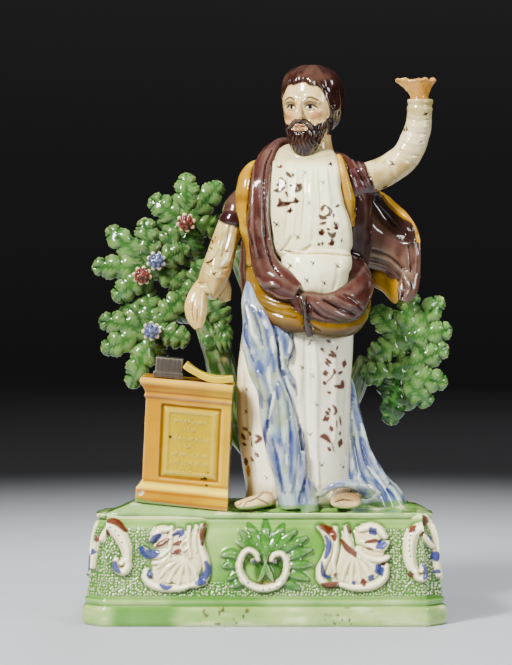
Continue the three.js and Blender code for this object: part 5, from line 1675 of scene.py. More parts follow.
def head_piece():
    skull = from_head(sweep(SKULL_STATIONS, 90, 70))
    hair = from_head(sweep(HAIR_STATIONS, 100, 80, swell=lambda a, s: 1 + 0.012 * np.cos(13 * a + 5 * s)))
    beard = from_head(sweep(BEARD_STATIONS, 80, 60, swell=lambda a, s: 1 + 0.02 * np.cos(17 * a + 9 * s)))
    nose = from_head(sweep(NOSE_STATIONS, 32, 36))
    neck = sweep(NECK_STATIONS, 64, 40)
    piece = moulded("head", [skull, hair, beard, nose, neck], 0.44, 3)
    spots = places(piece)
    local = to_head(spots)
    out = facings(piece)
    face = local[:, [0, 2]]
    ahead = soft_step(-(out[:, 1] * math.cos(HEAD_TURN) - out[:, 0] * math.sin(HEAD_TURN)), 0.1, 0.6)
    bearing = np.degrees(np.arctan2(local[:, 0], -local[:, 1]))
    turned = np.abs(bearing)
    up = local[:, 2]
    hairline = np.interp(turned, *HAIRLINE)
    hairline += 0.9 * np.sin(bearing * 0.16 + 1)
    beard_top = np.interp(turned, *BEARD_TOP)
    neck_low = np.interp(turned, *NECK_LOW)
    is_hair = soft_step(up - hairline, -0.4, 0.5) * (up > -15)
    is_beard = soft_step(beard_top - up, -0.3, 0.6) * (turned < 84) * (up > neck_low)
    moustache = np.max([touch(face, line, 4.8, 0.3) for line in MOUSTACHE], axis=0)
    moustache = soft_step(moustache, 0.05, 0.35) * ahead
    under_chin = soft_step(-out[:, 2], 0.55, 0.8) * (up < -20)
    is_beard = np.maximum(is_beard * (1 - under_chin), moustache)
    brown = np.maximum(is_hair, is_beard)
    lift = lifted(face, FACE_FORMS, 0.35) * ahead
    locks = np.sin(np.arctan2(local[:, 0], local[:, 1]) * 17 + 0.5 * np.sin(up * 0.5) * 2.5 + up * 0.12)
    crimped = np.sin(local[:, 0] * 2.6 + 1.3 * np.sin(up * 0.9)) * np.sin(up * 0.55 + local[:, 0] * 0.4)
    fringe = np.exp(-((up - hairline - 2.2) / 2.4) ** 2) * (turned < 75)
    tuft = np.sin(bearing * 0.30)
    lift += is_hair * (0.10 * locks + 0.6 * fringe * (1 + 0.8 * tuft))
    lift += is_beard * (0.24 * crimped + 0.3)
    spots = spots + out * lift[:, None]
    spots = softened(piece, spots, 0.35, 1)
    broad = cloudy(spots, 8, 3, 51)
    mirrored = np.column_stack([np.abs(face[:, 0]), face[:, 1]])
    cheek = touch(mirrored, [(7.6, -4.6), (9.4, -3.4)], 8.0)
    socket = touch(mirrored, [(4.0, 3.6), (8.8, 3.6)], 5.0)
    lips = np.maximum(touch(face, [(-2.6, -10), (2.6, -10)], 2.2), touch(face, [(-2, -12), (2, -12)], 2.4))
    eye = np.hypot((np.abs(face[:, 0]) - EYE_ASIDE) / 2.7, (face[:, 1] - 0.75) / 1.35)
    paint = dipped(
        FACE_SKIN, spots,
        ((206, 170, 112), 0.6 * soft_step(-broad, 0, 0.7)),
        ((238, 222, 184), 0.6 * soft_step(touch(face, [(-5, 9), (0, 10.5), (5, 9)], 12), 0, 0.8)),
        # Painted shade on the neck under the beard.
        ((196, 176, 124), 0.7 * soft_step(-18 - up, 0, 4)),
        ((208, 142, 92), 0.7 * soft_step(cheek, 0, 0.9) * ahead),
        # Painted shade in the eye sockets.
        ((158, 136, 74), 0.75 * soft_step(socket, 0, 0.8) * ahead),
        ((176, 98, 72), 0.75 * soft_step(lips, 0.05, 0.6) * ahead * (1 - is_beard)),
        ((92, 48, 38), 0.8 * soft_step(touch(face, [(-3, -10.9), (3, -10.9)], 1.1), 0.1, 0.6) * ahead),
        ((238, 232, 208), 0.9 * soft_step(1 - eye, 0, 0.3) * ahead))
    for lines, color, share, taper, edge in FACE_STROKES:
        for width, _, line in lines:
            near = soft_step(touch(face, line, width, taper), 0, edge)
            paint = brushed(paint, (color, share * near * ahead))
    iris = np.hypot(np.abs(face[:, 0]) - EYE_ASIDE, face[:, 1] - 0.95)
    paint = brushed(paint, ((58, 36, 20), soft_step(1.45 - iris, 0, 0.35) * ahead))
    fine = hollows(piece, 6)
    hair_paint = dipped(
        HAIR_BROWN, spots,
        ((118, 92, 80), 0.7 * soft_step(broad, 0.0, 0.7)),
        ((54, 30, 32), 0.8 * soft_step(-broad, 0.1, 0.7)),
        ((52, 32, 30), 0.55 * is_beard),
        ((34, 20, 20), 0.7 * soft_step(fine, 0.02, 0.2)),
        ((104, 80, 68), 0.5 * soft_step(-fine, 0.05, 0.25) * is_beard))
    paint = paint + (hair_paint - paint) * np.clip(brown, 0, 1)[:, None]
    fired(piece, paint, fine, "head_glaze", thin=0.15, thick=0.45, wave=0.25, mottle=0.08, speck=0.3)
    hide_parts("head")
    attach(piece, "root")


head_piece()

# Raised arm: a pale sleeve out of a short purple one, bent up to a ringed cuff. The hand above it is broken
# off: a flesh-coloured stump flares to a torn, hollow edge. Pressed apart and luted to the shoulder.
RAISED_SHORT_SLEEVE = [
    (42, -3, 254, 9, 10), (49, -4, 259, 12.4, 12.2), (55.5, -4.5, 262.4, 12.2, 12),
    (61, -5, 264.8, 10.8, 11), (63.6, -5, 266, 9.4, 9.8),
]
RAISED_SLEEVE = [
    (54, -4, 262.6, 9.2, 9.4), (64, -5, 265.6, 9.4, 9.4), (73.4, -6, 269.4, 9.2, 9.2),
    (81.6, -6, 274.8, 8.9, 9), (87.8, -6, 282.6, 8.5, 8.7), (91.4, -6, 292, 7.9, 8.2),
    (93, -6, 301.5, 7.3, 7.7), (93.4, -6, 311, 6.8, 7.2),
]
CUFF_STATIONS = [
    (93.1, -6, 302.6, 7.2, 7.6), (93.2, -6, 304.6, 7.6, 7.9), (93.3, -6, 306.6, 7.9, 8.1),
    (93.4, -6, 308.6, 7.2, 7.6), (93.5, -6, 310.4, 7.9, 8.1), (93.5, -6, 312.2, 7.5, 7.8),
]
STUMP_WALL = [
    (93.4, -6, 304, 5, 4.8), (93.4, -6, 311, 5.4, 5), (93, -6, 314.2, 5.5, 5.1), (92, -6, 317.6, 7.4, 5.8),
    (91, -6, 321.4, 10.2, 6.4), (90.4, -6, 324.2, 12, 6.8), (90.4, -6, 324.4, 10.8, 5.6),
    (90.8, -6, 321, 8.2, 4.4), (91.8, -6, 317.8, 4.4, 3.2), (92, -6, 316.8, 0.8, 0.8),
]
STUMP_SIDES = 96
TORN_EDGE = (318, 324)
PURPLE_SLEEVE = (88, 52, 54)
SLEEVE_CREAM = (228, 214, 176)
FLESH_OCHRE = (200, 158, 84)
RAISED_FOLDS = [
    (8, -0.6, [(398, 150), (408, 155), (419, 156)]), (8, 0.5, [(396, 158), (406, 164), (414, 166)]),
    (8, -0.5, [(406, 130), (414, 134), (426, 134)]), (8, 0.5, [(403, 140), (412, 144), (424, 144)]),
    (7, -0.5, [(406, 118), (416, 121), (428, 120)]), (8, 0.4, [(406, 124), (416, 127), (428, 127)]),
    (8, -0.5, [(386, 162), (392, 172), (396, 184)]), (5, -0.9, [(352, 162), (359, 174), (366, 188)]),
    (6, 0.8, [(357, 160), (364, 174), (371, 188)]), (5, 0.7, [(347, 163), (352, 178), (357, 192)]),
]
RAISED_MARKS = [
    (1.6, [(389, 161), (392, 163), (389.5, 166)]), (1.4, [(392, 165), (394.5, 164)]),
    (1.8, [(418, 143), (422, 141.5)]), (1.8, [(403, 128), (404.5, 132)]), (1.5, [(406, 127), (406, 131.5)]),
    (1.8, [(423, 115.5), (427, 113.5)]), (1.2, [(424, 112.5), (426, 116.5)]),
    (2.4, [(382, 190), (386, 186.5)]),
]


def raised_arm_piece():
    short_sleeve = sweep(RAISED_SHORT_SLEEVE, 64, 60, across=(0, 1, 0),
                         swell=lambda a, s: 1 + 0.03 * np.cos(6 * a + 5 * s))
    sleeve = sweep(RAISED_SLEEVE, 64, 130, across=(0, 1, 0),
                   swell=lambda a, s: 1 + 0.018 * np.cos(3 * a + 22 * s) * np.sin(math.pi * s))
    cuff = sweep(CUFF_STATIONS, 64, 40)
    stump = sweep(STUMP_WALL, STUMP_SIDES, 90, through=(0, 1, 0),
                  swell=lambda a, s: 1 + 0.06 * np.cos(5 * a + 1) * soft_step(s, 0.25, 0.5))
    turn = np.arange(STUMP_SIDES) / STUMP_SIDES * 2 * math.pi
    torn = 0.54 * np.sin(turn * 5 + 0.6) + 0.36 * np.sin(turn * 11)
    stump[..., 2] += torn * soft_step(stump[..., 2], *TORN_EDGE)
    forms = [short_sleeve, sleeve, cuff, stump]
    piece = moulded("raised_arm", forms, 0.5, 2)
    spots, out, view, front = front_of(piece, -0.1, 0.4)
    form = traced(spots, forms)[0]
    spots = raised(spots, out, view, RAISED_FOLDS, front)
    spots += out * (0.4 * cloudy(spots, 7, 2, 61) * (form < 3))[:, None]
    spots += out * (0.3 * cloudy(spots, 2.4, 2, 62) * (form == 3))[:, None]
    spots = softened(piece, spots, 0.35, 1)
    broad = cloudy(spots, 9, 3, 63)
    fold = hollows(piece, 8)
    cream = dipped(
        SLEEVE_CREAM, spots,
        ((190, 164, 92), 0.8 * soft_step(-broad, 0.0, 0.6)),
        ((244, 236, 208), 0.6 * soft_step(broad, 0.2, 0.7)),
        ((164, 142, 82), 0.7 * soft_step(fold, 0.03, 0.3)),
        ((188, 176, 122), 0.6 * soft_step(spots[:, 2], 296, 306)),
        # Painted shade on the underside of the sleeve.
        ((170, 148, 92), 0.6 * soft_step(-out[:, 2], 0.2, 0.9)))
    cream = sprigged(cream, view, front, RAISED_MARKS, MARK_BROWN, 1.5)
    purple = dipped(
        PURPLE_SLEEVE, spots,
        ((120, 90, 90), 0.7 * soft_step(broad, 0.0, 0.6)),
        ((46, 26, 28), 0.8 * soft_step(fold, 0.05, 0.4)))
    flesh = dipped(
        FLESH_OCHRE, spots,
        ((232, 204, 134), 0.8 * soft_step(broad, 0.0, 0.6)),
        ((140, 84, 36), 0.7 * soft_step(fold, 0.02, 0.3)))
    paint = np.where((form == 0)[:, None], purple, np.where((form == 3)[:, None], flesh, cream))
    fired(piece, paint, hollows(piece, 5), "raised_arm_glaze",
          thin=0.15, thick=0.4, wave=0.3, mottle=0.07, speck=0.4)
    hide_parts("raised_arm")
    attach(piece, "root")


raised_arm_piece()

# Lowered arm: a short mauve sleeve with a dark cuff over a creased pale one, and a flat hand that rests near
# the papers. Pressed apart and luted under the roll of the cloak.
LOWERED_SHORT_SLEEVE = [
    (-4, -2, 256, 8.6, 9), (-12, -6, 250.5, 9, 9.4), (-16.4, -9, 245, 9, 9.4), (-18, -10.6, 240, 7.8, 8.6),
]
LOWERED_CUFF = [
    (-18.2, -10.8, 242.4, 7.6, 9), (-18.8, -11.4, 240, 8.4, 9.8), (-19.8, -12, 236.8, 8.4, 9.8),
    (-20.4, -12.4, 234.8, 7.2, 8.4),
]
LOWERED_SLEEVE = [
    (-18.8, -11.4, 240, 6.4, 7), (-20.8, -12.8, 235, 7.6, 8), (-24.8, -16.4, 223.5, 8.4, 8.4),
    (-29, -21, 209, 8.7, 8.8), (-33.4, -24.8, 198.6, 7.6, 7.6), (-35, -26, 195, 6.4, 6.4),
]
SLEEVE_POINT = [(-27, -18, 206, 5, 5), (-24.6, -18.6, 197, 5, 5), (-23, -19, 191, 2.8, 3.4)]
HAND_STATIONS = [
    (-36.4, -25, 201, 5, 4.2), (-39.4, -27.6, 195.8, 5.6, 4.6), (-41.2, -30.2, 188.3, 6.5, 4.4),
    (-40.8, -32, 181, 5.2, 3.8), (-39, -33, 175.4, 2.6, 2.4),
]
THUMB_STATIONS = [(-35.8, -27.4, 193, 2.2, 2.6), (-36.4, -30, 186, 2.2, 2.4), (-37.4, -32, 178.6, 1.8, 1.9)]
LOWERED_FOLDS = [
    (8, -1.0, [(230, 226), (227, 240), (222, 256)]), (8, 0.8, [(221, 228), (219, 244), (214, 256)]),
    (7, 0.6, [(236, 230), (234, 246), (229, 262)]), (7, -0.6, [(207, 264), (216, 269), (228, 268)]),
    (7, 0.6, [(204, 272), (214, 277), (226, 277)]), (6, -0.7, [(198, 282), (208, 286), (214, 300)]),
    (2.0, -1.0, [(193, 302), (192, 311), (193.4, 321)]),
    (1.8, -0.8, [(198, 306), (197.6, 314), (197.8, 323)]),
    (2.4, 0.7, [(190, 300), (189, 310), (190.6, 320)]),
    (2.4, 0.7, [(195.6, 300), (195, 312), (195.8, 323)]),
]
LOWERED_MARKS = [
    (2.2, [(206, 262.5), (210, 261.5), (214.5, 257.5)]), (1.5, [(212.5, 272.5), (214.5, 275.5)]),
    (1.3, [(213, 275.5), (216, 272)]), (1.6, [(206.5, 249), (208.5, 252)]),
    (1.4, [(210, 247.5), (213, 249.5)]), (1.4, [(207.5, 245)]), (1.6, [(225, 251.5), (230, 251)]),
    (1.2, [(228, 249), (229, 253)]), (1.2, [(216, 236), (215, 239)]), (1.2, [(212, 240), (213, 243)]),
]


def lowered_arm_piece():
    short_sleeve = sweep(LOWERED_SHORT_SLEEVE, 56, 50)
    cuff = sweep(LOWERED_CUFF, 56, 24)
    sleeve = sweep(LOWERED_SLEEVE, 64, 90, swell=lambda a, s: 1 + 0.03 * np.cos(4 * a + 9 * s))
    point = sweep(SLEEVE_POINT, 32, 30)
    hand = sweep(HAND_STATIONS, 48, 60)
    thumb = sweep(THUMB_STATIONS, 28, 30)
    forms = [short_sleeve, cuff, sleeve, point, hand, thumb]
    piece = moulded("lowered_arm", forms, 0.5, 2)
    spots, out, view, front = front_of(piece, -0.1, 0.4)
    form = traced(spots, forms)[0]
    spots = raised(spots, out, view, LOWERED_FOLDS, front)
    spots += out * (0.3 * cloudy(spots, 6, 2, 71) * (form < 4))[:, None]
    spots = softened(piece, spots, 0.35, 1)
    broad = cloudy(spots, 9, 3, 72)
    fold = hollows(piece, 8)
    cream = dipped(
        (208, 192, 138), spots,
        ((176, 144, 84), 0.75 * soft_step(-broad, 0.0, 0.6)),
        ((236, 228, 184), 0.6 * soft_step(broad, 0.2, 0.7)),
        ((140, 108, 58), 0.7 * soft_step(fold, 0.03, 0.3)),
        # Painted shade on the side of the sleeve turned towards the body.
        ((176, 140, 82), 0.7 * soft_step(out[:, 0], 0.2, 0.9)))
    cream = sprigged(cream, view, front, LOWERED_MARKS, (90, 40, 24), 1.5)
    mauve = dipped((116, 92, 80), spots, ((90, 66, 58), 0.7 * soft_step(-broad, 0.0, 0.6)))
    dark = dipped((72, 40, 44), spots)
    skin = dipped(
        (218, 192, 132), spots,
        ((242, 224, 184), 0.6 * soft_step(broad, 0.1, 0.7)),
        ((144, 98, 50), 0.8 * soft_step(fold, 0.02, 0.25)))
    kind = form[:, None]
    paint = np.select([kind == 0, kind == 1, kind >= 4], [mauve, dark, skin], cream)
    fired(piece, paint, hollows(piece, 5), "lowered_arm_glaze",
          thin=0.15, thick=0.4, wave=0.3, mottle=0.07, speck=0.4)
    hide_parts("lowered_arm")
    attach(piece, "root")


lowered_arm_piece()

# Cloak flap: the free end of the cloak, blown back under the raised arm in deep folds, with its yellow lining
# along the edge and inside the curl. A thin pressed sheet; dark manganese glaze.
FLAP_STATIONS = [
    (50, 2, 235, 21, 4.6), (58, 4, 235, 23.5, 4.6), (66, 6.6, 234, 24.5, 4.4), (74, 8, 231, 24, 4.2),
    (81, 7, 221.5, 28, 4.2), (88, 4, 217.4, 25, 4.2), (93, 1.6, 216.5, 17, 3.6), (94.4, 1, 217, 11, 2.6),
]
FLAP_POINT = [(89, 2, 207, 6, 4.4), (86, -1, 196, 6, 4.0), (83.6, -2, 190.4, 3.4, 3.0)]
FLAP_CURL = [
    (61, 12, 207, 5, 2), (66, 12, 205.4, 6.4, 2.6), (72, 11.4, 203.6, 8, 2.8), (76.4, 9.6, 200.6, 10, 3),
    (79.6, 7, 197.6, 9, 3), (81, 5, 196, 6, 2.4),
]
FLAP_FOLDS = [
    (34, -5.4, [(374, 202), (388, 219), (406, 234)]),
    (12, 2.2, [(357, 257), (372, 255), (388, 261), (402, 273), (409, 286)]),
    (6, -1.2, [(358, 250), (374, 251), (391, 258), (403, 269)]),
    (6, 1.0, [(358, 262), (374, 263), (388, 268), (398, 277)]),
    (8, 1.6, [(384, 196), (391, 205), (403, 215.5), (412, 221), (416, 232)]),
    (7, 1.2, [(414, 242), (415.5, 256), (415, 272)]), (6, -1.2, [(408, 246), (410, 258), (411, 272)]),
    (5, -1.2, [(403, 279), (404.5, 288), (402, 298)]), (6, 1.4, [(398.6, 286), (398.6, 294), (399.4, 301)]),
    (5, 0.9, [(409, 281), (409.4, 289), (405.4, 297)]),
]
# The yellow edge, a band of painted light along the raised fold and the painted shade in the dark hollow,
# each a line in the front view and its width.
FLAP_EDGE = ([(382, 191), (387, 199.5), (394, 207), (404, 214.6), (413, 219.6), (417.4, 228), (419, 240)], 9)
FLAP_LIT_RIDGE = ([(355, 252), (378, 251), (402, 268), (408, 285)], 22)
FLAP_SHADE = ([(366, 194), (380, 210), (396, 226), (412, 236)], 34)
CURL_SHADE_PX = 384


def flap_piece():
    def rippled(angle, share):
        return 1 + 0.02 * np.cos(5 * angle + 4 * share)

    flap = sweep(FLAP_STATIONS, 110, 110, across=(0, 0, 1), through=(0, 1, 0), swell=rippled)
    point = sweep(FLAP_POINT, 40, 30)
    curl = sweep(FLAP_CURL, 60, 60, across=(0, 0, 1), through=(0, 1, 0))
    forms = [flap, point, curl]
    piece = moulded("cloak_flap", forms, 0.5, 2)
    spots, out, view, front = front_of(piece, -0.2, 0.3)
    form = traced(spots, forms)[0]
    spots[:, 1] -= lifted(view, FLAP_FOLDS, 0.4) * (0.4 + 0.6 * front) * (form != 2)
    spots = softened(piece, spots, 0.5, 2)
    out = facings(piece)
    front = soft_step(-out[:, 1], -0.3, 0.3)
    broad = cloudy(spots, 7, 4, 81)
    fold = hollows(piece, 14)
    lit_ridge = soft_step(touch(view, *FLAP_LIT_RIDGE), 0, 0.8) * soft_step(broad, -0.5, 0.4)
    shade = touch(view, *FLAP_SHADE)
    paint = dipped(
        (130, 102, 92), spots,
        ((74, 48, 46), 0.6 * soft_step(-broad, 0.0, 0.6)),
        # A band of painted light along the raised fold, and painted shade in the dark hollow.
        ((150, 130, 114), 0.8 * lit_ridge * front),
        ((56, 38, 36), 0.8 * soft_step(shade, 0, 0.6) * front),
        ((48, 30, 32), 0.8 * soft_step(fold, 0.15, 0.8)),
        ((200, 160, 0), soft_step(touch(view, *FLAP_EDGE, 0.3), 0.0, 0.22)))
    lining = dipped((206, 168, 0), spots, ((64, 42, 14), soft_step(CURL_SHADE_PX - view[:, 0], 0, 14)))
    paint = np.where((form == 2)[:, None], lining, paint)
    paint = brushed(paint, ((176, 124, 8), 0.9 * soft_step(out[:, 1], 0.2, 0.5) * (spots[:, 0] > 64)))
    fired(piece, paint, hollows(piece, 5), "flap_glaze",
          thin=0.18, thick=0.6, wave=0.45, mottle=0.12, speck=0.3)
    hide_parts("cloak_flap")
    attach(piece, "root")


flap_piece()

# Tree: a forked trunk of rolled clay behind the man. It holds up the leaves and props the figure in the kiln;
# scored for bark and covered with green glaze.
STEM_STATIONS = [
    (10, 33, 65.5, 20, 8.6), (8, 33, 82.5, 13, 8), (6, 33, 118.5, 11, 7), (2, 33, 158.5, 10, 6.5),
    (-6, 32, 194.5, 8, 6), (-18, 30, 220.5, 5, 5),
]
LEFT_LIMB = [
    (-4, 31, 94.5, 8, 7), (-20, 27, 120.5, 9.4, 7), (-27, 24, 150.5, 8.8, 6.4), (-36, 21, 176, 7, 5.6),
    (-48, 19, 198, 5, 5),
]
RIGHT_LIMB = [
    (10, 31, 94.5, 8, 7), (34, 27, 110.5, 7.4, 6.4), (51, 22, 128.5, 6.8, 6), (58, 19, 144, 6.2, 5.4),
    (62, 17, 155, 4.6, 4.6),
]
LEAF_GREEN = (84, 124, 72)


def tree_piece():
    def bark(angle, share):
        return 1 + 0.05 * np.cos(7 * angle + 9 * share) + 0.03 * np.cos(12 * angle - 14 * share)

    forms = [sweep(STEM_STATIONS, 64, 110, swell=bark), sweep(LEFT_LIMB, 56, 90, swell=bark),
             sweep(RIGHT_LIMB, 52, 80, swell=bark)]
    piece = moulded("tree_trunk", forms, 0.9, 2)
    spots = places(piece)
    out = facings(piece)
    spots += out * (0.7 * cloudy(spots * np.array([1, 1, 0.35]), 6, 3, 91))[:, None]
    put(piece, spots)
    fold = hollows(piece, 8)
    broad = cloudy(spots, 12, 3, 92)
    paint = dipped(
        (84, 124, 62), spots,
        ((132, 160, 92), 0.6 * soft_step(broad, 0.1, 0.7)),
        ((50, 80, 38), 0.8 * soft_step(-broad, 0.0, 0.6)),
        ((52, 72, 42), 0.7 * soft_step(fold, 0.05, 0.5)),
        ((190, 176, 132), 0.5 * soft_step(cloudy(spots, 7, 2, 93), 0.45, 0.8)))
    fired(piece, paint, fold, "bark_glaze", wave=0.4)
    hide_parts("tree_trunk")
    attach(piece, "root")


tree_piece()

# Leaves: sprays of lobed fronds pressed one by one, set round knobs on thin branches and glazed green, with
# the bare cream body and brown specks showing at the tips. Sprays are a middle, then each frond's angle in
# degrees, length and how far it stands back at its tip.
LEFT_SPRAYS = [
    ((-47, 13, 237.9), [(91, 32, 2), (50, 34, 6), (147, 29, 2), (222, 26, 0), (282, 27, 2), (-8, 24, 8),
        (118, 20, 6), (184, 20, 5)]),
    ((-69, 11, 210.8), [(97, 32, 0), (138, 38, 2), (180, 38, 0), (28, 28, -2), (222, 32, -2), (-25, 29, 4),
        (62, 22, 5), (160, 22, 6)]),
    ((-68, 9, 173.7), [(172, 35, 0), (204, 36, -2), (250, 41, -4), (-18, 25, -4), (48, 31, 2),
        (100, 26, 4), (140, 26, 5), (276, 24, 4)]),
    ((-38, 15, 194), [(102, 31, 2), (-48, 25, 0), (160, 23, 2), (60, 24, 4), (225, 24, 4), (10, 18, 4)]),
]
RIGHT_SPRAYS = [
    ((83, 11, 165.8), [(77, 33, 0), (46, 39, 0), (14, 34, -2), (128, 28, 2), (104, 20, 5), (-14, 26, 3),
        (207, 23, -3)]),
    ((81, 9, 146.7), [(28, 37, 0), (-12, 33, -2), (-44, 30, 0), (262, 34, -4), (181, 24, -2), (240, 18, 2),
        (290, 26, 3)]),
]
LEFT_TWIGS = [
    [(-16, 30, 219.6), (-30, 22, 232), (-47, 16, 237), (-60, 16, 226), (-69, 14, 210.9), (-71, 14, 190),
        (-68, 12, 174.8)], [(-36, 18, 192), (-52, 15, 204), (-69, 14, 210.9)],
    [(-40, 19, 186), (-38, 17, 194)],
]
RIGHT_TWIGS = [[(59, 18, 150), (71, 16, 149), (81, 12, 148), (84, 13, 156), (83, 14, 164.9)]]
STRAY_LEAF = [((-33, 18, 166), [(38, 16, -3), (2, 14, -4)])]
TWIG_HALF = 3.4
KNOB_STATIONS = [(-4.4, 0.8), (-3.9, 3.0), (-2.4, 5.2), (0, 6.4), (2.6, 5.6), (4.4, 2.6)]
FROND_HALF_WIDTH = 8.6
FROND_REACH = 0.95
FROND_LOBES = 3.5
FROND_RINGS = 38
FROND_SIDES = 32


def frond(foot, degrees, length, back, turn):
    """A frond as rings across it, foot to tip: round lobes on both sides of a rib, puffed like quilting."""
    way = math.radians(degrees)
    out = np.array([math.cos(way), 0, math.sin(way)])
    side = np.array([-math.sin(way), 0, math.cos(way)])
    share = (1 - np.cos(np.linspace(0, math.pi, FROND_RINGS))) / 2
    t = share[:, None]
    angle = (np.arange(FROND_SIDES) / FROND_SIDES * 2 * math.pi)[None, :]
    s = np.cos(angle)
    face = np.sin(angle)
    body = np.sin(math.pi * np.minimum(1, 0.16 + 0.70 * t)) ** 0.6
    tip = np.sqrt(np.clip(1 - np.clip((t - 0.84) / 0.16, 0, 1) ** 2, 0.0004, 1))
    phase = np.where(s > 0, 0.0, 0.22) + 0.1 * turn
    lobes = np.abs(np.sin(math.pi * (FROND_LOBES * t + phase)))
    frill = np.abs(np.sin(math.pi * (FROND_LOBES * 4 * t + phase * 4)))
    width = FROND_HALF_WIDTH * body * tip * (0.62 + 0.28 * lobes ** 0.8 + 0.10 * frill)
    reach = np.abs(s) ** 1.4
    forward = 0.34 * width * reach * (1 - t) + 0.7 * reach * frill * np.sin(math.pi * t)
    puff = 0.95 * lobes * np.sin(math.pi * np.clip(np.abs(s), 0, 1)) * tip
    rib = 0.6 * np.exp(-(s / 0.10) ** 2) * (1 - t)
    fan = FROND_LOBES * 4 * t + 4 * phase - 2.0 * np.abs(s)
    vein = 0.42 * np.abs(np.sin(math.pi * fan)) * np.sin(math.pi * np.abs(s) ** 0.8)
    bead = 0.55 * frill * np.exp(-((np.abs(s) - 0.93) / 0.12) ** 2)
    thick = 0.35 + 1.3 * np.abs(face) ** 0.5 * (1 - 0.45 * t) * tip
    depth = back * t - 2.6 * np.sin(math.pi * t) + 2.6 * np.abs(s) ** 2 * body + 1.6 * t ** 4
    front = face < 0
    depth = depth + np.where(front, -thick - puff - rib - vein - bead, 0.45 * thick - 0.4 * puff)
    curl = 0.9 * np.sin(3.1 * t * math.pi + turn * 2) * reach
    along = FROND_REACH * length * t + forward
    spots = np.asarray(foot, float) + out * along[..., None] + side * (width * s)[..., None]
    spots[..., 1] += depth + curl
    edge = np.maximum(reach * (0.35 + 0.65 * lobes), soft_step(t, 0.86, 1.0))
    return spots, edge


def leaves_piece(name, sprays, twigs, seed, node):
    rings, edges = [], []
    for number, (middle, fronds) in enumerate(sprays):
        knob = sweep([(middle[0], middle[1] + h, middle[2], r, r) for h, r in KNOB_STATIONS], 30, 24)
        rings.append(knob)
        edges.append(np.zeros(knob.shape[:2]))
        for count, (degrees, length, back) in enumerate(fronds):
            spots, edge = frond(middle, degrees, length, back, math.sin(3.7 * count + number + seed))
            rings.append(spots)
            edges.append(edge)
    for points in twigs:
        stations = [(*spot, TWIG_HALF, TWIG_HALF) for spot in points]
        twig = sweep(stations, 20, 10 * len(points), across=(0.2, 1, 0.1))
        rings.append(twig)
        edges.append(np.zeros(twig.shape[:2]))
    piece = joined(name, rings)
    rim = np.concatenate([np.append(edge, [0.0, 1.0]) for edge in edges])
    spots = places(piece)
    out = facings(piece)
    spots += out * (0.30 * cloudy(spots, 2.6, 2, 100 + seed))[:, None]
    put(piece, spots)
    fold = hollows(piece, 5)
    broad = cloudy(spots, 16, 3, 101 + seed)
    fine = cloudy(spots, 3.4, 2, 102 + seed)
    paint = dipped(
        LEAF_GREEN, spots,
        ((118, 152, 84), 0.65 * soft_step(broad + 0.5 * fine, 0.1, 0.7)),
        ((56, 88, 54), 0.7 * soft_step(-broad - 0.4 * fine, 0.0, 0.6)),
        ((40, 66, 40), 0.7 * soft_step(fold, 0.06, 0.40)),
        ((150, 176, 112), 0.35 * soft_step(-fold, 0.14, 0.40)),
        ((206, 208, 160), 0.75 * soft_step(rim + 0.35 * fine, 0.93, 1.12)),
        ((112, 80, 50), 0.7 * soft_step(rim, 0.7, 0.95) * soft_step(fine, 0.25, 0.55)))
    # Painted light: the sprays at the right are painted lighter.
    paint *= 1 + 0.35 * soft_step(spots[:, 0], 30, 60)[:, None]
    fired(piece, paint, fold, name + "_glaze",
          thin=0.06, thick=0.6, wave=0.4, mottle=0.14, speck=0.4, gloss=0.75)
    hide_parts(node)
    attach(piece, "root")


leaves_piece("leaves_left", LEFT_SPRAYS, LEFT_TWIGS, 0, "bocage_left")
leaves_piece("leaves_right", RIGHT_SPRAYS, RIGHT_TWIGS, 7, "bocage_right")
leaves_piece("trunk_leaves", STRAY_LEAF, [], 11, "tree_trunk")

# Flowers: four small rosettes of pinched clay petals stuck on the leaves, two washed with rust and two with
# blue, their petal edges left cream.
FLOWER_PLACES = [(-47.5, 2.6, 238), (-65.5, 1.0, 214.8), (-74, 1.2, 206), (-68.4, -1.2, 172.4)]
RUST_WASH = (130, 70, 54)
BLUE_WASH = (116, 126, 158)
OUTER_PETALS = 8
INNER_PETALS = 6
PETAL_SHAPE = (1.25, 0.62, 0.82)


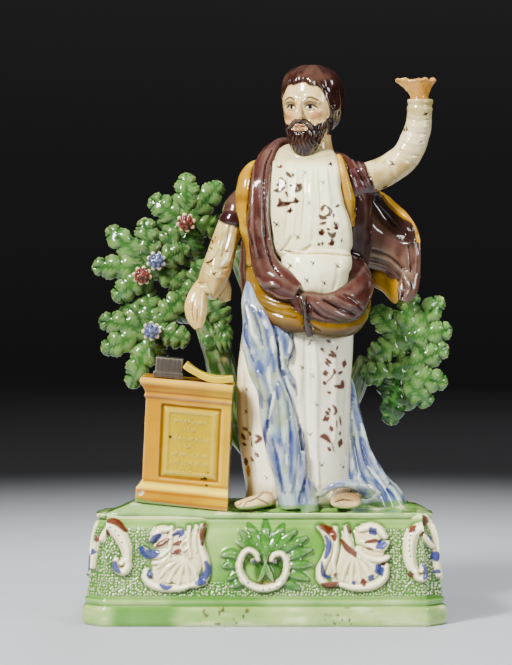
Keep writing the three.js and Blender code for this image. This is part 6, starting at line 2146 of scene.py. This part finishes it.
def petal_ring(place, count, reach, size, forward, turn):
    for number in range(count):
        angle = 2 * math.pi * number / count + turn
        spot = (place[0] + reach * math.cos(angle), place[1] + forward, place[2] + reach * math.sin(angle))
        bpy.ops.mesh.primitive_uv_sphere_add(
            segments=20, ring_count=12, radius=size * MM, location=in_mm(*spot))
        petal = bpy.context.active_object
        petal.scale = PETAL_SHAPE
        petal.rotation_euler = (0, -angle, 0)
        bpy.ops.object.transform_apply(location=True, rotation=True, scale=True)
        yield petal


def flower_piece(number, place, wash):
    petals = list(petal_ring(place, OUTER_PETALS, 3.7, 2.0, 1.6, 0.2 * number))
    petals += list(petal_ring(place, INNER_PETALS, 1.9, 1.55, 0.2, 0.5 + 0.3 * number))
    petals += list(petal_ring(place, 1, 0.0, 1.3, -0.9, 0))
    petals += list(petal_ring(place, 1, 0.0, 3.4, 3.0, 0))
    bpy.ops.object.select_all(action="DESELECT")
    for petal in petals:
        petal.select_set(True)
    flower = petals[0]
    bpy.context.view_layer.objects.active = flower
    bpy.ops.object.join()
    flower.name = f"flower_{number}"
    applied(flower, "REMESH", mode="VOXEL", voxel_size=0.32 * MM)
    applied(flower, "SMOOTH", factor=0.5, iterations=1)
    spots = places(flower)
    away = np.hypot(spots[:, 0] - place[0], spots[:, 2] - place[2])
    rough = cloudy(spots, 1.8, 2, 110 + number)
    fold = hollows(flower, 5)
    paint = dipped(
        wash, spots,
        (np.array(wash) * 0.55, 0.8 * soft_step(-rough, 0, 0.5)),
        (np.array(wash) * 0.5, 0.8 * soft_step(fold, 0.02, 0.2)),
        ((222, 206, 172), 0.85 * soft_step(away + 0.9 * rough, 4.4, 5.4)),
        ((226, 214, 190), 0.6 * soft_step(-fold + 0.08 * rough, 0.14, 0.26)))
    fired(flower, paint, fold, f"flower_{number}_glaze", thin=0.2, thick=0.5, wave=0.3, speck=0.3)
    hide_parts(f"flower_{number}")
    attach(flower, "root")


for number, (place, wash) in enumerate(zip(FLOWER_PLACES, (RUST_WASH, BLUE_WASH, RUST_WASH, BLUE_WASH)), 1):
    flower_piece(number, place, wash)
